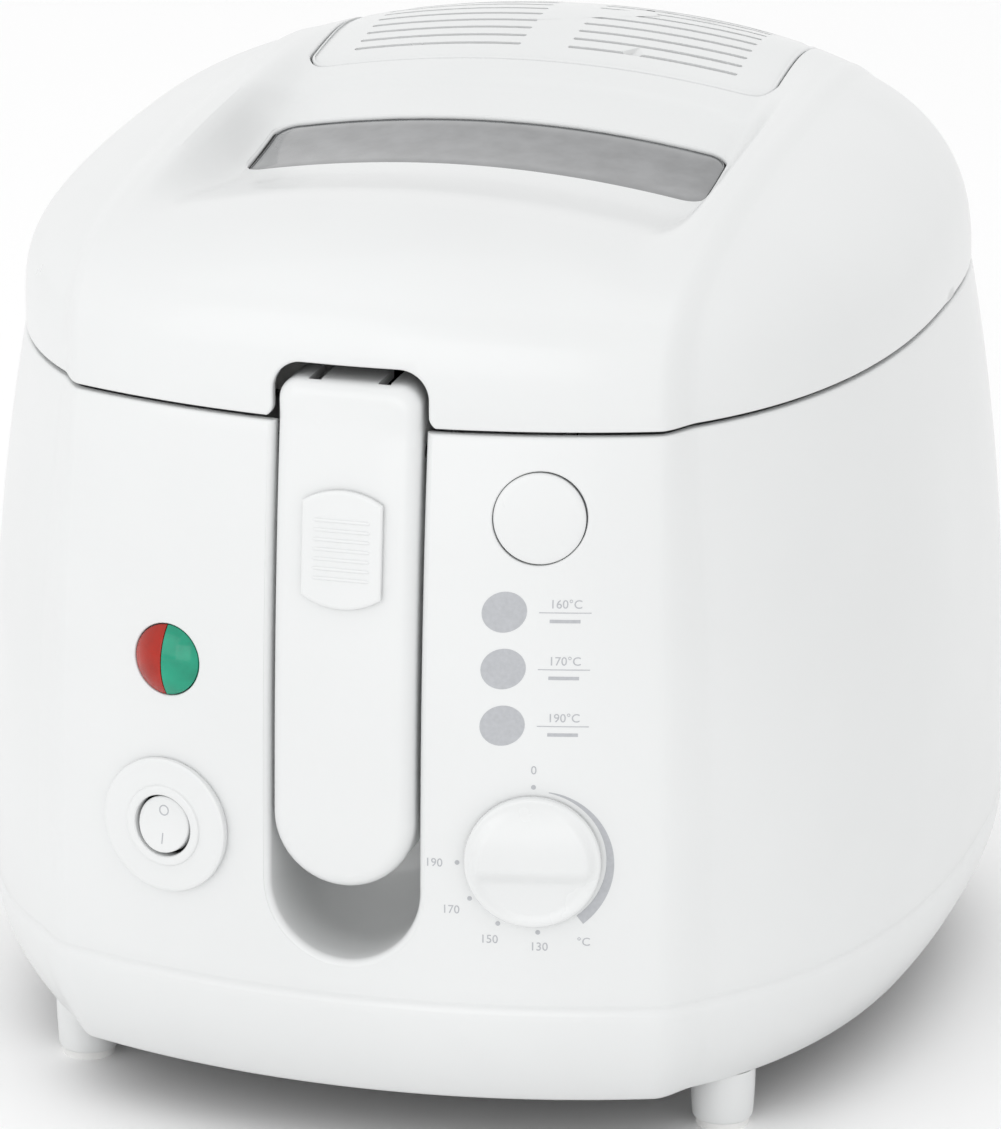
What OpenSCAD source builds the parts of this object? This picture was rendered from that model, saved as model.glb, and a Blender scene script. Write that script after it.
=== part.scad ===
// Compact deep fryer: a cool-touch housing with a folding basket handle, a hinged lid
// with window and filter, an oil pan over a heating element, and a fold-down grip.
// Millimetres, +Z up, front towards -Y. Drafted with y = 0 on the widest line of the
// housing, then moved so that the origin is under the middle of the whole fryer.

/* [Housing] */
// Width of the housing where the lid meets it
seam_w = 254; // [232:1:310]
// Depth of the rounded outline ahead of its widest line
lobe_front = 166; // [158:1:200]
// Depth of the rounded outline behind its widest line
lobe_back = 132; // [124:1:170]
// How square the outline is: 2 is an ellipse
roundness = 2.5; // [2.2:0.1:3.2]
// Height of the lid seam above the table
seam_z = 205; // [190:1:250]
// Height of the housing's lower edge
base_z = 17; // [14:1:22]
// Wall of the housing, the lid and the grip recess
wall = 2.6; // [2:0.1:3]
// Outward swell of the front below the seam
swell_front = 9; // [6:0.5:12]
// Outward swell of the sides and back below the seam
swell_side = 12.5; // [8:0.5:16]
// Clear gap between housing and lid at the seam
seam_gap = 1.2; // [0.8:0.1:2]

/* [Front panel] */
// Width of the curved front panel
panel_w = 160; // [150:1:180]
// Width of the step beside the front panel
panel_step = 8; // [6:1:12]
// Plan radius of the front panel
panel_r = 228; // [200:1:300]
// Distance of the panel ahead of the widest line
panel_reach = 160.5; // [154:0.5:196]
// Sideways place of the controls, each side of the middle
control_x = 51; // [48:0.5:56]
// Height of the dial and of the power switch
dial_z = 90; // [84:1:100]
// Height of the pilot lamp
lamp_z = 136; // [130:1:150]
// Height of the lid button
button_z = 183; // [178:1:188]

/* [Controls] */
// Radius of the dial knob
knob_r = 18.2; // [16:0.2:20]
// Height of the knob's rim
knob_rim = 2.8; // [2:0.2:4]
// Height of the knob's grip bar above its rim
knob_bar = 1.6; // [1:0.2:3]
// Radius of the knob spindle
spindle_r = 3; // [2.5:0.1:4]
// Radius of the switch plate
switch_plate_r = 18.8; // [16:0.2:20]
// Radius of the round rocker
rocker_r = 7.8; // [6.5:0.1:8.5]
// Tilt of the rocker to each side
rocker_tilt = 7; // [4:1:9]
// Radius of the pilot lens
lens_r = 9.6; // [8:0.2:11]
// Radius of the lid button
button_r = 12.2; // [10:0.2:13]
// Travel of the lid button
button_travel = 4; // [2:0.5:5]

/* [Lid] */
// Height of the lid above the seam along its middle
lid_h = 61; // [50:1:75]
// Fall of the lid from the middle to the panel's edge
lid_fall = 10; // [6:1:14]
// Height of the rounded side lobes of the lid
lid_side_h = 55; // [44:1:66]
// Distance of the lid's crest behind the widest line
crest_y = 52; // [40:1:64]
// Depth of the scoop that the window lies in
scoop_d = 15; // [0:0.5:17]
// Half width of the window
window_x = 66; // [56:1:70]
// Front edge of the window
window_y0 = -46; // [-60:1:-40]
// Back edge of the window
window_y1 = -12; // [-20:1:-6]
// Half width of the filter cover
cover_x = 69; // [60:1:72]
// Front edge of the filter cover
cover_y0 = 22; // [18:1:30]
// Back edge of the filter cover
cover_y1 = 92; // [84:1:96]
// Gap around window and filter cover
trim_gap = 0.6; // [0.4:0.1:1]
// Distance of the lid hinge behind the seam outline
hinge_back = 8; // [7:0.5:10]
// Height of the lid hinge below the seam
hinge_drop = 2; // [1:0.5:3]

/* [Oil pan and basket] */
// Half width of the pan
pan_x = 102; // [96:1:106]
// Front of the pan
pan_y0 = -118; // [-118:1:-110]
// Back of the pan
pan_y1 = 108; // [96:1:110]
// Corner radius of the pan
pan_r = 62; // [56:1:70]
// Height of the pan's underside
pan_z = 54; // [50:1:66]
// Wall of the pan
pan_wall = 1.2; // [1:0.1:2]
// Width of the pan's flange
pan_flange = 6; // [5:0.5:6.5]
// Gap between basket and pan wall
basket_gap = 12; // [8:0.5:18]
// Gap between basket and pan floor
basket_lift = 12; // [8:1:20]
// Height of the basket's rim below the deck
basket_drop = 16; // [12:1:30]
// Wall of the basket mesh
mesh_wall = 1.6; // [1.2:0.1:2.4]

/* [Grip] */
// Width of the folding grip
grip_w = 39; // [36:0.5:42]
// Depth of the grip from front to back
grip_d = 18; // [16:0.5:19]
// Height of the grip's lower end
grip_z0 = 79; // [76:1:90]
// Height of the grip's upper end above the seam
grip_top = 12; // [10:0.5:13]
// Wall of the grip
grip_wall = 2.6; // [2:0.1:3]
// How far the grip stands proud of the panel
grip_proud = 2.5; // [1:0.5:4]
// Radius of the grip's pivot pin
pivot_r = 3; // [2.5:0.1:3.5]
// Height of the pivot below the seam
pivot_drop = 7; // [6:0.5:8]
// Distance of the pivot behind the panel
pivot_in = 7.5; // [7:0.5:8.5]
// Depth of the grip recess behind the panel
recess_d = 32.5; // [32:0.5:33]
// Gap between grip and recess at each side
recess_gap = 1.2; // [1:0.1:2]
// Height of the finger gap below the grip
finger_gap = 21; // [18:1:26]
// Sideways place of the two bracket arms
arm_x = 9.5; // [8:0.5:11]
// Thickness of the bracket arms
arm_t = 2; // [1.5:0.1:2.5]
// Travel of the grip's lock slider
slider_travel = 6; // [4:0.5:7]

/* [Feet and inlet] */
// Radius of the feet
foot_r = 9; // [7:0.5:10]
// Thickness of the rubber foot pads
pad_t = 2; // [1.5:0.5:4]
// Bore of the cord inlet
inlet_r = 3.5; // [3:0.1:4.5]

/* [Hidden] */
$fn = 48;

fit = 0.05;          // radial clearance of running fits
slack = 0.3;         // clearance between pieces that are only laid together
snug = 0.02;         // radial clearance of fits that don't turn
touch = 0.05;        // gap between faces that rest on each other
through = 20;        // length of cutters that pass through a wall
half_w = seam_w / 2;
panel_cy = panel_r - panel_reach;
rim_z = seam_z - seam_gap / 2;
lid_z = seam_z + seam_gap / 2;
waist_hi = 60;       // the swell is full between these two heights
waist_lo = 45;
heel_in = 10;        // extra inset of the back's lower edge
swell_bend = 2.2;    // how quickly the swell grows below the seam
heel_bend = 1.8;     // how round the lower edge is

deck_z = seam_z - 5;
deck_t = 2.6;
arm_pass_x = arm_x + 3.5;   // half width of the pass for the bracket arms
recess_x = grip_w / 2 + recess_gap;
recess_y = -panel_reach + recess_d;
recess_z = grip_z0 - finger_gap + recess_x;
grip_z1 = seam_z + grip_top;
notch_x = recess_x + 0.6;
notch_z = grip_z1 + 4;
notch_r = 8;
pivot_y = -panel_reach + pivot_in;
pivot_z = seam_z - pivot_drop;

hinge_y = lobe_back + hinge_back;
hinge_z = seam_z - hinge_drop;
hinge_r = 2;
knuckle_r = 5;
knuckle_x = 34;
knuckle_w = 10;
lug_t = 5;
lug_h = 26;
strap_rise = 3;
strap_t = 5;
strap_in = 12;       // how far the hinge straps reach into the lid

latch_x = 48;        // sideways place of the latch hook and the catch
latch_y = -136;      // front face of the latch hook
latch_z = button_z - 33;
latch_w = 12;
catch_z = rim_z - 11;

basket_x = pan_x - pan_wall - basket_gap;
basket_y0 = pan_y0 + pan_wall + basket_gap;
basket_y1 = pan_y1 - pan_wall - basket_gap;
basket_r = pan_r - pan_wall - basket_gap;
basket_z0 = pan_z + pan_wall + basket_lift;
basket_z1 = deck_z - basket_drop;
rim_rod = 4;

slider_z = (grip_z0 + grip_z1) / 2 + 25;
slider_w = 22;
slider_h = 32;
cap_t = 1.5;
neck = 7.4;          // square neck that joins the slider's cap to its bolt

front_limit = -(panel_reach + swell_front + grip_proud);
back_limit = hinge_y + knuckle_r;
centre_shift = -(front_limit + back_limit) / 2;

function smooth(t) = let (c = min(1, max(0, t))) c * c * (3 - 2 * c);
function unit(v) = v / norm(v);
function side_of(x) = x < 0 ? -1 : 1;

// Plan outline of the seam: a superellipse whose front carries a flatter, curved panel.
function lobe(x, depth) = depth * pow(max(0, 1 - pow(abs(x) / half_w, roundness)), 1 / roundness);
function panel_line(x, out = 0) = panel_cy - sqrt(pow(panel_r + out, 2) - x * x);
function panel_mix(x) = 1 - smooth((abs(x) - panel_w / 2) / panel_step);
function front_line(x) =
    let (m = panel_mix(x), px = min(abs(x), panel_w / 2 + panel_step))
    m * panel_line(px) - (1 - m) * lobe(x, lobe_front);
function lobe_out(x, y, depth) = unit([
    side_of(x) * pow(abs(x) / half_w, roundness - 1) / half_w,
    side_of(y) * pow(abs(y) / depth, roundness - 1) / depth
]);
function panel_out(x) = [x, -sqrt(panel_r * panel_r - x * x)] / panel_r;
function front_out(x) =
    let (m = panel_mix(x), px = side_of(x) * min(abs(x), panel_w / 2 + panel_step))
    unit(m * panel_out(px) + (1 - m) * lobe_out(x, -lobe(x, lobe_front), lobe_front));

// Stations across the width, closer together at the step and round the sides.
step_x = panel_w / 2 + panel_step;
side_turn = asin(pow(step_x / half_w, roundness / 2));
half_stations = concat(
    [for (i = [0:10]) panel_w / 2 * i / 10],
    [for (i = [1:4]) panel_w / 2 + panel_step * i / 4],
    [for (i = [1:8]) half_w * pow(sin(side_turn + (90 - side_turn) * i / 8), 2 / roundness)]
);
last = len(half_stations) - 1;
stations = concat([for (i = [last:-1:1]) -half_stations[i]], half_stations);
front_edge = [for (x = stations) [[x, front_line(x)], front_out(x)]];
back_edge = [for (x = stations) let (y = lobe(x, lobe_back)) [[x, y], lobe_out(x, y, lobe_back)]];
outline = concat(front_edge, [for (i = [2 * last - 1:-1:1]) back_edge[i]]);

// How far the housing stands outside the seam outline at height z, facing direction out.
function swell(z, out) =
    let (
        back = max(0, out[1]),
        full = swell_front + (swell_side - swell_front) * max(pow(abs(out[0]), 1.5), back)
    )
    z >= waist_hi ? full * (1 - pow(1 - min(1, (seam_z - z) / (seam_z - waist_hi)), swell_bend))
    : z >= waist_lo ? full
    : full - (full + heel_in * back) * pow((waist_lo - z) / (waist_lo - base_z), heel_bend);

function ring(z, inset = 0) = [
    for (p = outline) let (q = p[0] + (swell(z, p[1]) - inset) * p[1]) [q[0], q[1], z]
];
function ring_2d(z, inset) = [for (p = ring(z, inset)) [p[0], p[1]]];

// The front panel's own line at height z, at sideways place x.
function panel_face(x, z) = panel_line(x, swell(z, [0, -1]));
function panel_lean(z) = atan((panel_face(0, z + 1) - panel_face(0, z - 1)) / 2);
function panel_turn(x, z) = asin(x / (panel_r + swell(z, [0, -1])));

// A wall closed on itself: rings up the outside, then down the inside.
module hollow_wall(rings) {
    n = len(rings[0]);
    m = len(rings);
    faces = [
        for (j = [0:m - 1], i = [0:n - 1])
            let (
                i2 = (i + 1) % n, j2 = (j + 1) % m,
                a = j * n + i, b = j * n + i2, c = j2 * n + i2, d = j2 * n + i
            )
            each [[a, d, c], [a, c, b]]
    ];
    polyhedron([for (r = rings, p = r) p], faces, convexity = 8);
}

// Puts children on the front panel: local +Z points out of the panel, local +Y up.
module on_panel(x, z) {
    translate([x, panel_face(x, z), z])
        rotate([0, 0, panel_turn(x, z)])
            rotate([90 - panel_lean(z), 0, 0]) children();
}

// Puts children on the grip's front face in the same way.
module on_grip(z) {
    translate([0, panel_face(0, z) - grip_proud, z]) rotate([90 - panel_lean(z), 0, 0]) children();
}

module rounded(x0, y0, x1, y1, r) {
    translate([x0 + r, y0]) square([x1 - x0 - 2 * r, y1 - y0]);
    translate([x0, y0 + r]) square([x1 - x0, y1 - y0 - 2 * r]);
    for (x = [x0 + r, x1 - r], y = [y0 + r, y1 - r]) translate([x, y]) circle(r);
}

// The pan's plan outline, grown by g on every side.
module pan_plan(g = 0) {
    rounded(-pan_x - g, pan_y0 - g, pan_x + g, pan_y1 + g, pan_r + g);
}

module basket_plan(g = 0) {
    rounded(-basket_x - g, basket_y0 - g, basket_x + g, basket_y1 + g, basket_r + g);
}

// Draws a plan in x and z, and pushes it from y0 to y1.
module upright(y0, y1) {
    translate([0, y1, 0]) rotate([90, 0, 0]) linear_extrude(y1 - y0) children();
}

// Draws a side view in y and z, and pushes it from x0 to x1.
module sideways(x0, x1) {
    translate([x0, 0, 0]) rotate([90, 0, 90]) linear_extrude(x1 - x0) children();
}

module tube(r_out, r_in, h) {
    difference() {
        cylinder(r = r_out, h = h);
        translate([0, 0, -1]) cylinder(r = r_in, h = h + 2);
    }
}

module bar_x(x0, x1, y, z, r) {
    translate([x0, y, z]) rotate([0, 90, 0]) cylinder(r = r, h = x1 - x0);
}

// ---- Housing ----

shell_up = [base_z, base_z + 2, base_z + 6, base_z + 12, base_z + 20, waist_lo, waist_hi,
    (waist_hi * 2 + seam_z) / 3, (waist_hi + seam_z * 2) / 3, (waist_hi + seam_z * 7) / 8, rim_z];

module recess_plan(g = 0) {
    translate([0, recess_z]) circle(recess_x + g);
    translate([-recess_x - g, recess_z]) square([2 * (recess_x + g), seam_z + 40 - recess_z]);
}

// The insert that lines the grip recess, held behind the panel's wall.
module grip_well() color("whitesmoke") {
    low = recess_z - recess_x - wall - 1;
    high = rim_z - slack;
    lip = recess_x + wall;
    lip_up = concat([low], [for (z = shell_up) if (z > low && z < high) z], [high]);
    difference() {
        intersection() {
            upright(-panel_reach - 20, recess_y + wall) recess_plan(wall);
            sideways(-recess_x - 10, recess_x + 10) polygon(concat(
                [[recess_y + wall, low], [recess_y + wall, high]],
                [for (i = [len(lip_up) - 1:-1:0])
                    [panel_face(lip, lip_up[i]) + wall + slack, lip_up[i]]]
            ));
        }
        upright(-panel_reach - 40, recess_y) recess_plan();
        translate([-arm_pass_x, recess_y - 1, deck_z - slack])
            cube([2 * arm_pass_x, wall + 2, through]);
    }
}

module panel_hole(x, z, r) {
    on_panel(x, z) translate([0, 0, -through / 2]) cylinder(r = r, h = through);
}

module body_shell() color("whitesmoke") {
    difference() {
        hollow_wall(concat(
            [for (z = shell_up) ring(z)],
            [for (i = [len(shell_up) - 1:-1:0]) ring(shell_up[i], wall)]
        ));
        upright(-panel_reach - 40, recess_y) recess_plan();
        panel_hole(control_x, dial_z, spindle_r + 1);
        panel_hole(-control_x, dial_z, rocker_r + 2.2);
        panel_hole(-control_x, lamp_z, lens_r + slack);
        panel_hole(control_x, button_z, button_r + slack);
        translate([inlet_x, inlet_y - through, inlet_z]) rotate([-90, 0, 0])
            cylinder(r = inlet_r + 2.5, h = 2 * through);
    }
}

module top_deck() color("gainsboro") {
    difference() {
        translate([0, 0, deck_z - deck_t]) linear_extrude(deck_t) difference() {
            polygon(ring_2d(deck_z, wall + slack));
            pan_plan(0.5);
            translate([-recess_x - wall - slack, -panel_reach - 20])
                square([2 * (recess_x + wall + slack), recess_y + wall + slack + panel_reach + 20]);
        }
        translate([latch_x - latch_w / 2 - 1.5, latch_y - hook_room[0], deck_z - deck_t - 1])
            cube([latch_w + 3, hook_room[0] + hook_t + hook_room[1], deck_t + 2]);
    }
}

hook_room = [12.5, 7.2];    // room in the deck ahead of and behind the latch hook
foot_front = [92, -116];
foot_back = [88, 84];
foot_spots = [for (s = [-1, 1], f = [foot_front, foot_back]) [s * f[0], f[1]]];
plate_t = 2.5;
screw_r = 1.95;
screw_in = 4;               // how far the base screws reach into the feet

module base_plate() color("dimgray") {
    vent_w = 3;
    vent_l = 80;
    vent_pitch = 9;
    difference() {
        translate([0, 0, base_z]) linear_extrude(plate_t) polygon(ring_2d(base_z, wall + slack));
        for (i = [-6:6]) translate([i * vent_pitch - vent_w / 2, -vent_l / 2, base_z - 1])
            cube([vent_w, vent_l, plate_t + 2]);
        for (p = foot_spots) translate([p[0], p[1], base_z - 1])
            cylinder(r = screw_r + 0.15, h = plate_t + 2);
    }
}

module base_screws() color("silver") {
    for (p = foot_spots) translate([p[0], p[1], base_z - screw_in]) {
        cylinder(r = screw_r, h = screw_in + plate_t + 2 * touch);
        translate([0, 0, screw_in + plate_t + touch]) cylinder(r = 3.6, h = 2);
    }
}

module feet() color("white") {
    for (p = foot_spots) translate([p[0], p[1], pad_t]) difference() {
        cylinder(r1 = foot_r - 0.8, r2 = foot_r, h = base_z - pad_t);
        translate([0, 0, base_z - screw_in - pad_t]) cylinder(r = screw_r + touch, h = 10);
    }
}

module foot_pads() color("gray") {
    for (p = foot_spots) translate([p[0], p[1], 0]) cylinder(r = foot_r - 1.6, h = pad_t);
}

// ---- Pan and heating ----

module oil_pan() color("darkgray") {
    bead = 0.8;
    difference() {
        union() {
            translate([0, 0, pan_z]) linear_extrude(deck_z + pan_wall - pan_z) pan_plan();
            translate([0, 0, deck_z]) linear_extrude(pan_wall) pan_plan(pan_flange);
        }
        translate([0, 0, pan_z + pan_wall])
            linear_extrude(deck_z + bead + 4 - pan_z) pan_plan(-pan_wall);
    }
}

element_r = 62;
element_rod = 3.3;
element_pin = 2.4;
element_ends = [-12, 12];   // turn of the two connector pins about the middle
element_z = pan_z - element_rod - 2 * touch;
shield_z = element_z - 14;

module heating_element() color("dimgray") {
    translate([0, 0, element_z]) {
        rotate_extrude() translate([element_r, 0]) circle(element_rod);
        for (a = element_ends) rotate([0, 0, a]) translate([element_r, 0, -9])
            cylinder(r = element_pin, h = 9);
    }
}

module heat_shield() color("silver") {
    post_x = element_r - 10;
    for (a = [60, 180, 300]) rotate([0, 0, a]) translate([post_x, 0, base_z + plate_t])
        cylinder(r = 3, h = shield_z + 0.5 - base_z - plate_t);
    difference() {
        translate([0, 0, shield_z]) cylinder(r = element_r + 20, h = 9);
        translate([0, 0, shield_z + 1]) cylinder(r = element_r + 19, h = 9);
        for (a = element_ends) rotate([0, 0, a]) translate([element_r, 0, 0])
            cylinder(r = element_pin + 1.2, h = element_z);
    }
}

module thermostat_body() color("slategray") {
    body_w = 28;
    body_t = 17;
    nose = 7;
    on_panel(control_x, dial_z) difference() {
        union() {
            translate([-body_w / 2, -body_w / 2, -nose - body_t]) cube([body_w, body_w, body_t]);
            translate([0, 0, -nose - 1]) cylinder(r = spindle_r + 4, h = nose + 1 - wall - slack);
        }
        translate([0, 0, -through]) cylinder(r = spindle_r + fit, h = through);
    }
}

module thermal_cutout() color("tan") {
    height = 6;
    translate([0, 0, pan_z - height - 2 * touch]) cylinder(r = 8, h = height);
}

module terminal_block() color("ivory") {
    centre = [-70, 40];
    size = [30, 18, 12];
    translate([centre[0] - size[0] / 2, centre[1] - size[1] / 2, base_z + plate_t]) difference() {
        cube(size);
        for (i = [0:2]) translate([size[0] * (i + 0.5) / 3, size[1] / 2, 3])
            cylinder(r = 2.2, h = size[2]);
    }
}

// ---- Cord inlet ----

inlet_x = -40;
inlet_z = 52;
inlet_y = lobe(inlet_x, lobe_back) + swell_side;
inlet_end = back_limit - 0.4;

gland_in = 12;              // length of the gland inside the wall

module cord_gland() color("black") {
    flange_y = inlet_y + 1.6;
    translate([inlet_x, 0, inlet_z]) rotate([-90, 0, 0]) difference() {
        union() {
            translate([0, 0, inlet_y - gland_in])
                cylinder(r = inlet_r + 2, h = inlet_end - inlet_y + gland_in);
            translate([0, 0, flange_y]) cylinder(r = inlet_r + 5, h = inlet_end - flange_y);
        }
        translate([0, 0, inlet_y - gland_in - 1]) cylinder(r = inlet_r, h = 2 * through);
    }
}

module gland_nut() color("black") {
    translate([inlet_x, inlet_y - gland_in + 2, inlet_z]) rotate([-90, 0, 0])
        tube(inlet_r + 5, inlet_r + 2 + fit, 4);
}

// ---- Front controls ----

module switch_bezel() color("whitesmoke") {
    on_panel(-control_x, dial_z) translate([0, 0, 1]) difference() {
        union() {
            cylinder(r1 = switch_plate_r, r2 = switch_plate_r - 0.8, h = 1.2);
            cylinder(r = rocker_r + 3.4, h = 2);
            translate([0, 0, -1.6]) cylinder(r = rocker_r + 2, h = 2);
        }
        translate([0, 0, -5]) cylinder(r = rocker_r + 0.8, h = 12);
    }
}

module power_rocker() color("white") {
    on_panel(-control_x, dial_z) rotate([-rocker_tilt, 0, 0]) intersection() {
        sphere(r = rocker_r + 0.55, $fn = 64);
        translate([0, 0, -2.6]) cylinder(r = rocker_r, h = 5.4);
    }
}

module switch_housing() color("dimgray") {
    barrel = 10;
    block_t = 12;
    on_panel(-control_x, dial_z) {
        translate([0, 0, -barrel]) tube(rocker_r + 2, rocker_r + 0.8, barrel - 1);
        translate([0, 0, -barrel - block_t]) cylinder(r = rocker_r + 2, h = block_t);
        for (x = [-5, 0, 5]) translate([x - 0.4, -3, -barrel - block_t - 7]) cube([0.8, 6, 8]);
    }
}

lens_rise = 3.4;
lens_in = 2;                // edge of the lens inside the panel's face
lens_split = 0.15;          // half the gap between the two halves
lamp_depth = 14;
lens_ball = (lens_r * lens_r + lens_rise * lens_rise) / (2 * lens_rise);

module lens_half(s) {
    on_panel(-control_x, lamp_z) difference() {
        intersection() {
            translate([0, 0, lens_rise - lens_ball]) sphere(r = lens_ball, $fn = 96);
            translate([0, 0, -lens_in]) cylinder(r = lens_r, h = 10);
        }
        translate([s > 0 ? -through : -lens_split, -through, -through])
            cube([through + lens_split, 2 * through, 2 * through]);
    }
}

module lamp_lens_red() color("red") lens_half(-1);
module lamp_lens_green() color("green") lens_half(1);

module lamp_holder() color("whitesmoke") {
    flange_t = 1.5;
    on_panel(-control_x, lamp_z) {
        translate([0, 0, -lamp_depth]) tube(lens_r - 0.2, lens_r - 2, lamp_depth - lens_in - 2 * touch);
        translate([0, 0, -wall - 0.75 - flange_t]) tube(lens_r + 2.4, lens_r - 1, flange_t);
        translate([0, 0, -lamp_depth - flange_t]) cylinder(r = lens_r - 0.2, h = flange_t);
    }
}

module neon_lamps() color("orange") {
    on_panel(-control_x, lamp_z) for (x = [-3.6, 3.6]) translate([x, 0, -lamp_depth])
        cylinder(r = 2.4, h = 10);
}

// ---- Lid button and latch ----

button_cap = 5;
rod_r = 3;
rod_end = -20;
guide_end = -11.5;   // back of the button guide
guide_floor = 1.7;

module lid_button() color("whitesmoke") {
    on_panel(control_x, button_z) {
        translate([0, 0, -button_cap]) cylinder(r = button_r, h = button_cap + 0.4);
        translate([0, 0, rod_end]) cylinder(r = rod_r, h = -rod_end - button_cap + 1);
    }
}

module button_guide() color("gainsboro") {
    on_panel(control_x, button_z) difference() {
        translate([0, 0, guide_end]) cylinder(r = button_r + 2, h = -guide_end - wall - 0.6);
        translate([0, 0, guide_end + guide_floor]) cylinder(r = button_r + fit, h = through);
        translate([0, 0, -through]) cylinder(r = rod_r + fit, h = through);
        translate([-through, button_r - 3, -through]) cube([2 * through, 10, 12]);
    }
}

module button_spring() color("silver") {
    spring_end = guide_end + guide_floor + touch;
    on_panel(control_x, button_z) translate([0, 0, spring_end])
        tube(5.2, 4, -spring_end - button_cap - touch);
}

hook_lip = 5;
lip_t = 3.6;
hook_t = 4;
hook_top = rim_z - 3;
latch_boss = 4;
latch_pin_r = 1.5;
ear_t = 1.5;                // thickness of the two bracket ears
ear_gap = 0.45;             // gap between the hook and each ear

module latch_hook() color("gainsboro") {
    sideways(latch_x - latch_w / 2, latch_x + latch_w / 2) difference() {
        union() {
            translate([latch_y, latch_z]) square([hook_t, hook_top - latch_z]);
            translate([latch_y + hook_t / 2, latch_z]) circle(latch_boss);
            translate([latch_y - hook_lip, hook_top - lip_t]) square([hook_lip + 1, lip_t]);
        }
        translate([latch_y + hook_t / 2, latch_z]) circle(latch_pin_r + fit);
    }
}

module latch_pin() color("silver") {
    half = latch_w / 2 + ear_gap + ear_t + 1.25;
    bar_x(latch_x - half, latch_x + half, latch_y + hook_t / 2, latch_z, latch_pin_r);
}

module latch_bracket() color("silver") {
    for (s = [-1, 1]) {
        x0 = latch_x + s * (latch_w / 2 + ear_gap + ear_t / 2) - ear_t / 2;
        sideways(x0, x0 + ear_t) difference() {
            union() {
                translate([latch_y + hook_t / 2 - latch_boss, latch_z])
                    square([2 * latch_boss, deck_z - deck_t - latch_z - touch]);
                translate([latch_y + hook_t / 2, latch_z]) circle(latch_boss);
            }
            translate([latch_y + hook_t / 2, latch_z]) circle(latch_pin_r + snug);
        }
    }
}

module lid_catch() color("silver") {
    plate_y = latch_y - hook_lip - 4.2;
    plate = 2;
    tab_h = 6;
    top = lid_z + 14;
    tab_y = lid_inner_y(latch_x + latch_w / 2, top) + slack / 2;
    translate([latch_x - latch_w / 2, 0, 0]) {
        translate([0, plate_y, catch_z]) cube([latch_w, plate, top - catch_z]);
        translate([0, tab_y, top - tab_h]) cube([latch_w, plate_y + 1 - tab_y, tab_h]);
        translate([0, plate_y + 1, catch_z])
            cube([latch_w, 5, hook_top - lip_t - 0.4 - catch_z]);
    }
}

// ---- Lid hinge ----

module hinge_bracket() color("silver") {
    for (s = [-1, 1], side = [-1, 1]) {
        x0 = s * knuckle_x + side * (knuckle_w / 2 + slack + lug_t / 2) - lug_t / 2;
        sideways(x0, x0 + lug_t) difference() {
            union() {
                translate([hinge_y, hinge_z]) circle(knuckle_r - 0.4);
                translate([hinge_y - knuckle_r + 0.7, hinge_z - lug_h])
                    square([2 * knuckle_r - 1.1, lug_h]);
            }
            translate([hinge_y, hinge_z]) circle(hinge_r + snug);
        }
    }
    plate_x = knuckle_x + knuckle_w / 2 + slack + lug_t;
    translate([-plate_x, hinge_y - knuckle_r + 2, hinge_z - lug_h]) cube([2 * plate_x, 4, 12]);
}

module hinge_pin() color("silver") {
    end = knuckle_x + knuckle_w / 2 + slack + lug_t - 0.5;
    bar_x(-end, end, hinge_y, hinge_z, hinge_r);
}

module lid_spring() color("silver") {
    coil_w = 36;
    translate([-coil_w / 2, hinge_y, hinge_z]) rotate([0, 90, 0])
        tube(knuckle_r - 0.6, hinge_r + 0.6, coil_w);
}

// The flat part of one hinge arm, grown by g all round.
module hinge_strap(s, g = 0) {
    y0 = lobe_back - strap_in;
    translate([s * knuckle_x - knuckle_w / 2 - g, y0, lid_z + strap_rise - g])
        cube([knuckle_w + 2 * g, hinge_y + 2 - y0, strap_t + 2 * g]);
}

module lid_hinge_arms() color("whitesmoke") {
    for (s = [-1, 1]) {
        x0 = s * knuckle_x - knuckle_w / 2;
        difference() {
            union() {
                bar_x(x0, x0 + knuckle_w, hinge_y, hinge_z, knuckle_r);
                hinge_strap(s);
                translate([x0, hinge_y - 3, hinge_z])
                    cube([knuckle_w, knuckle_r + 1, lid_z + strap_rise + strap_t - hinge_z]);
            }
            bar_x(x0 - 1, x0 + knuckle_w + 1, hinge_y, hinge_z, hinge_r + fit);
        }
    }
}

// ---- Lid ----

lid_steps = 11;
function lid_rise(x) =
    let (m = panel_mix(x), px = min(abs(x), panel_w / 2))
    m * (lid_h - lid_fall * pow(px / (panel_w / 2), 2))
    + (1 - m) * lid_side_h * pow(max(0, 1 - pow(abs(x) / half_w, 3)), 1 / 3);
function lid_fade(u) =
    u < 0 ? pow(max(0, 1 - pow(-u, 2)), 1 / 4.3) : pow(max(0, 1 - pow(u, 2.2)), 1 / 2.4);
function lid_u(j) = side_of(j) * (1 - pow(1 - abs(j) / lid_steps, 3));

// How far the lid's front strip dips below its ridges over a place.
scoop_in = 2;               // inset of the scoop from the panel's edges
scoop_side = 13;            // width of its side slopes
scoop_ahead = 84;           // its run from its lowest place, the window's front edge
scoop_behind = 116;
function lid_scoop(x, y) =
    scoop_d * smooth((panel_w / 2 - scoop_in - abs(x)) / scoop_side)
    * (1 - smooth(abs(y - window_y0) / (y < window_y0 ? scoop_ahead : scoop_behind)));

// Depth of the lid's inner face in front, at sideways place x and height z.
function lid_inner_y(x, z) =
    let (
        u = sqrt(1 - pow((z - lid_z) / (lid_rise(x) - wall), 4.3)),
        spine = crest_y * (1 - pow(x / half_w, 4))
    )
    spine + (front_line(x) + wall - spine) * u;

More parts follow.
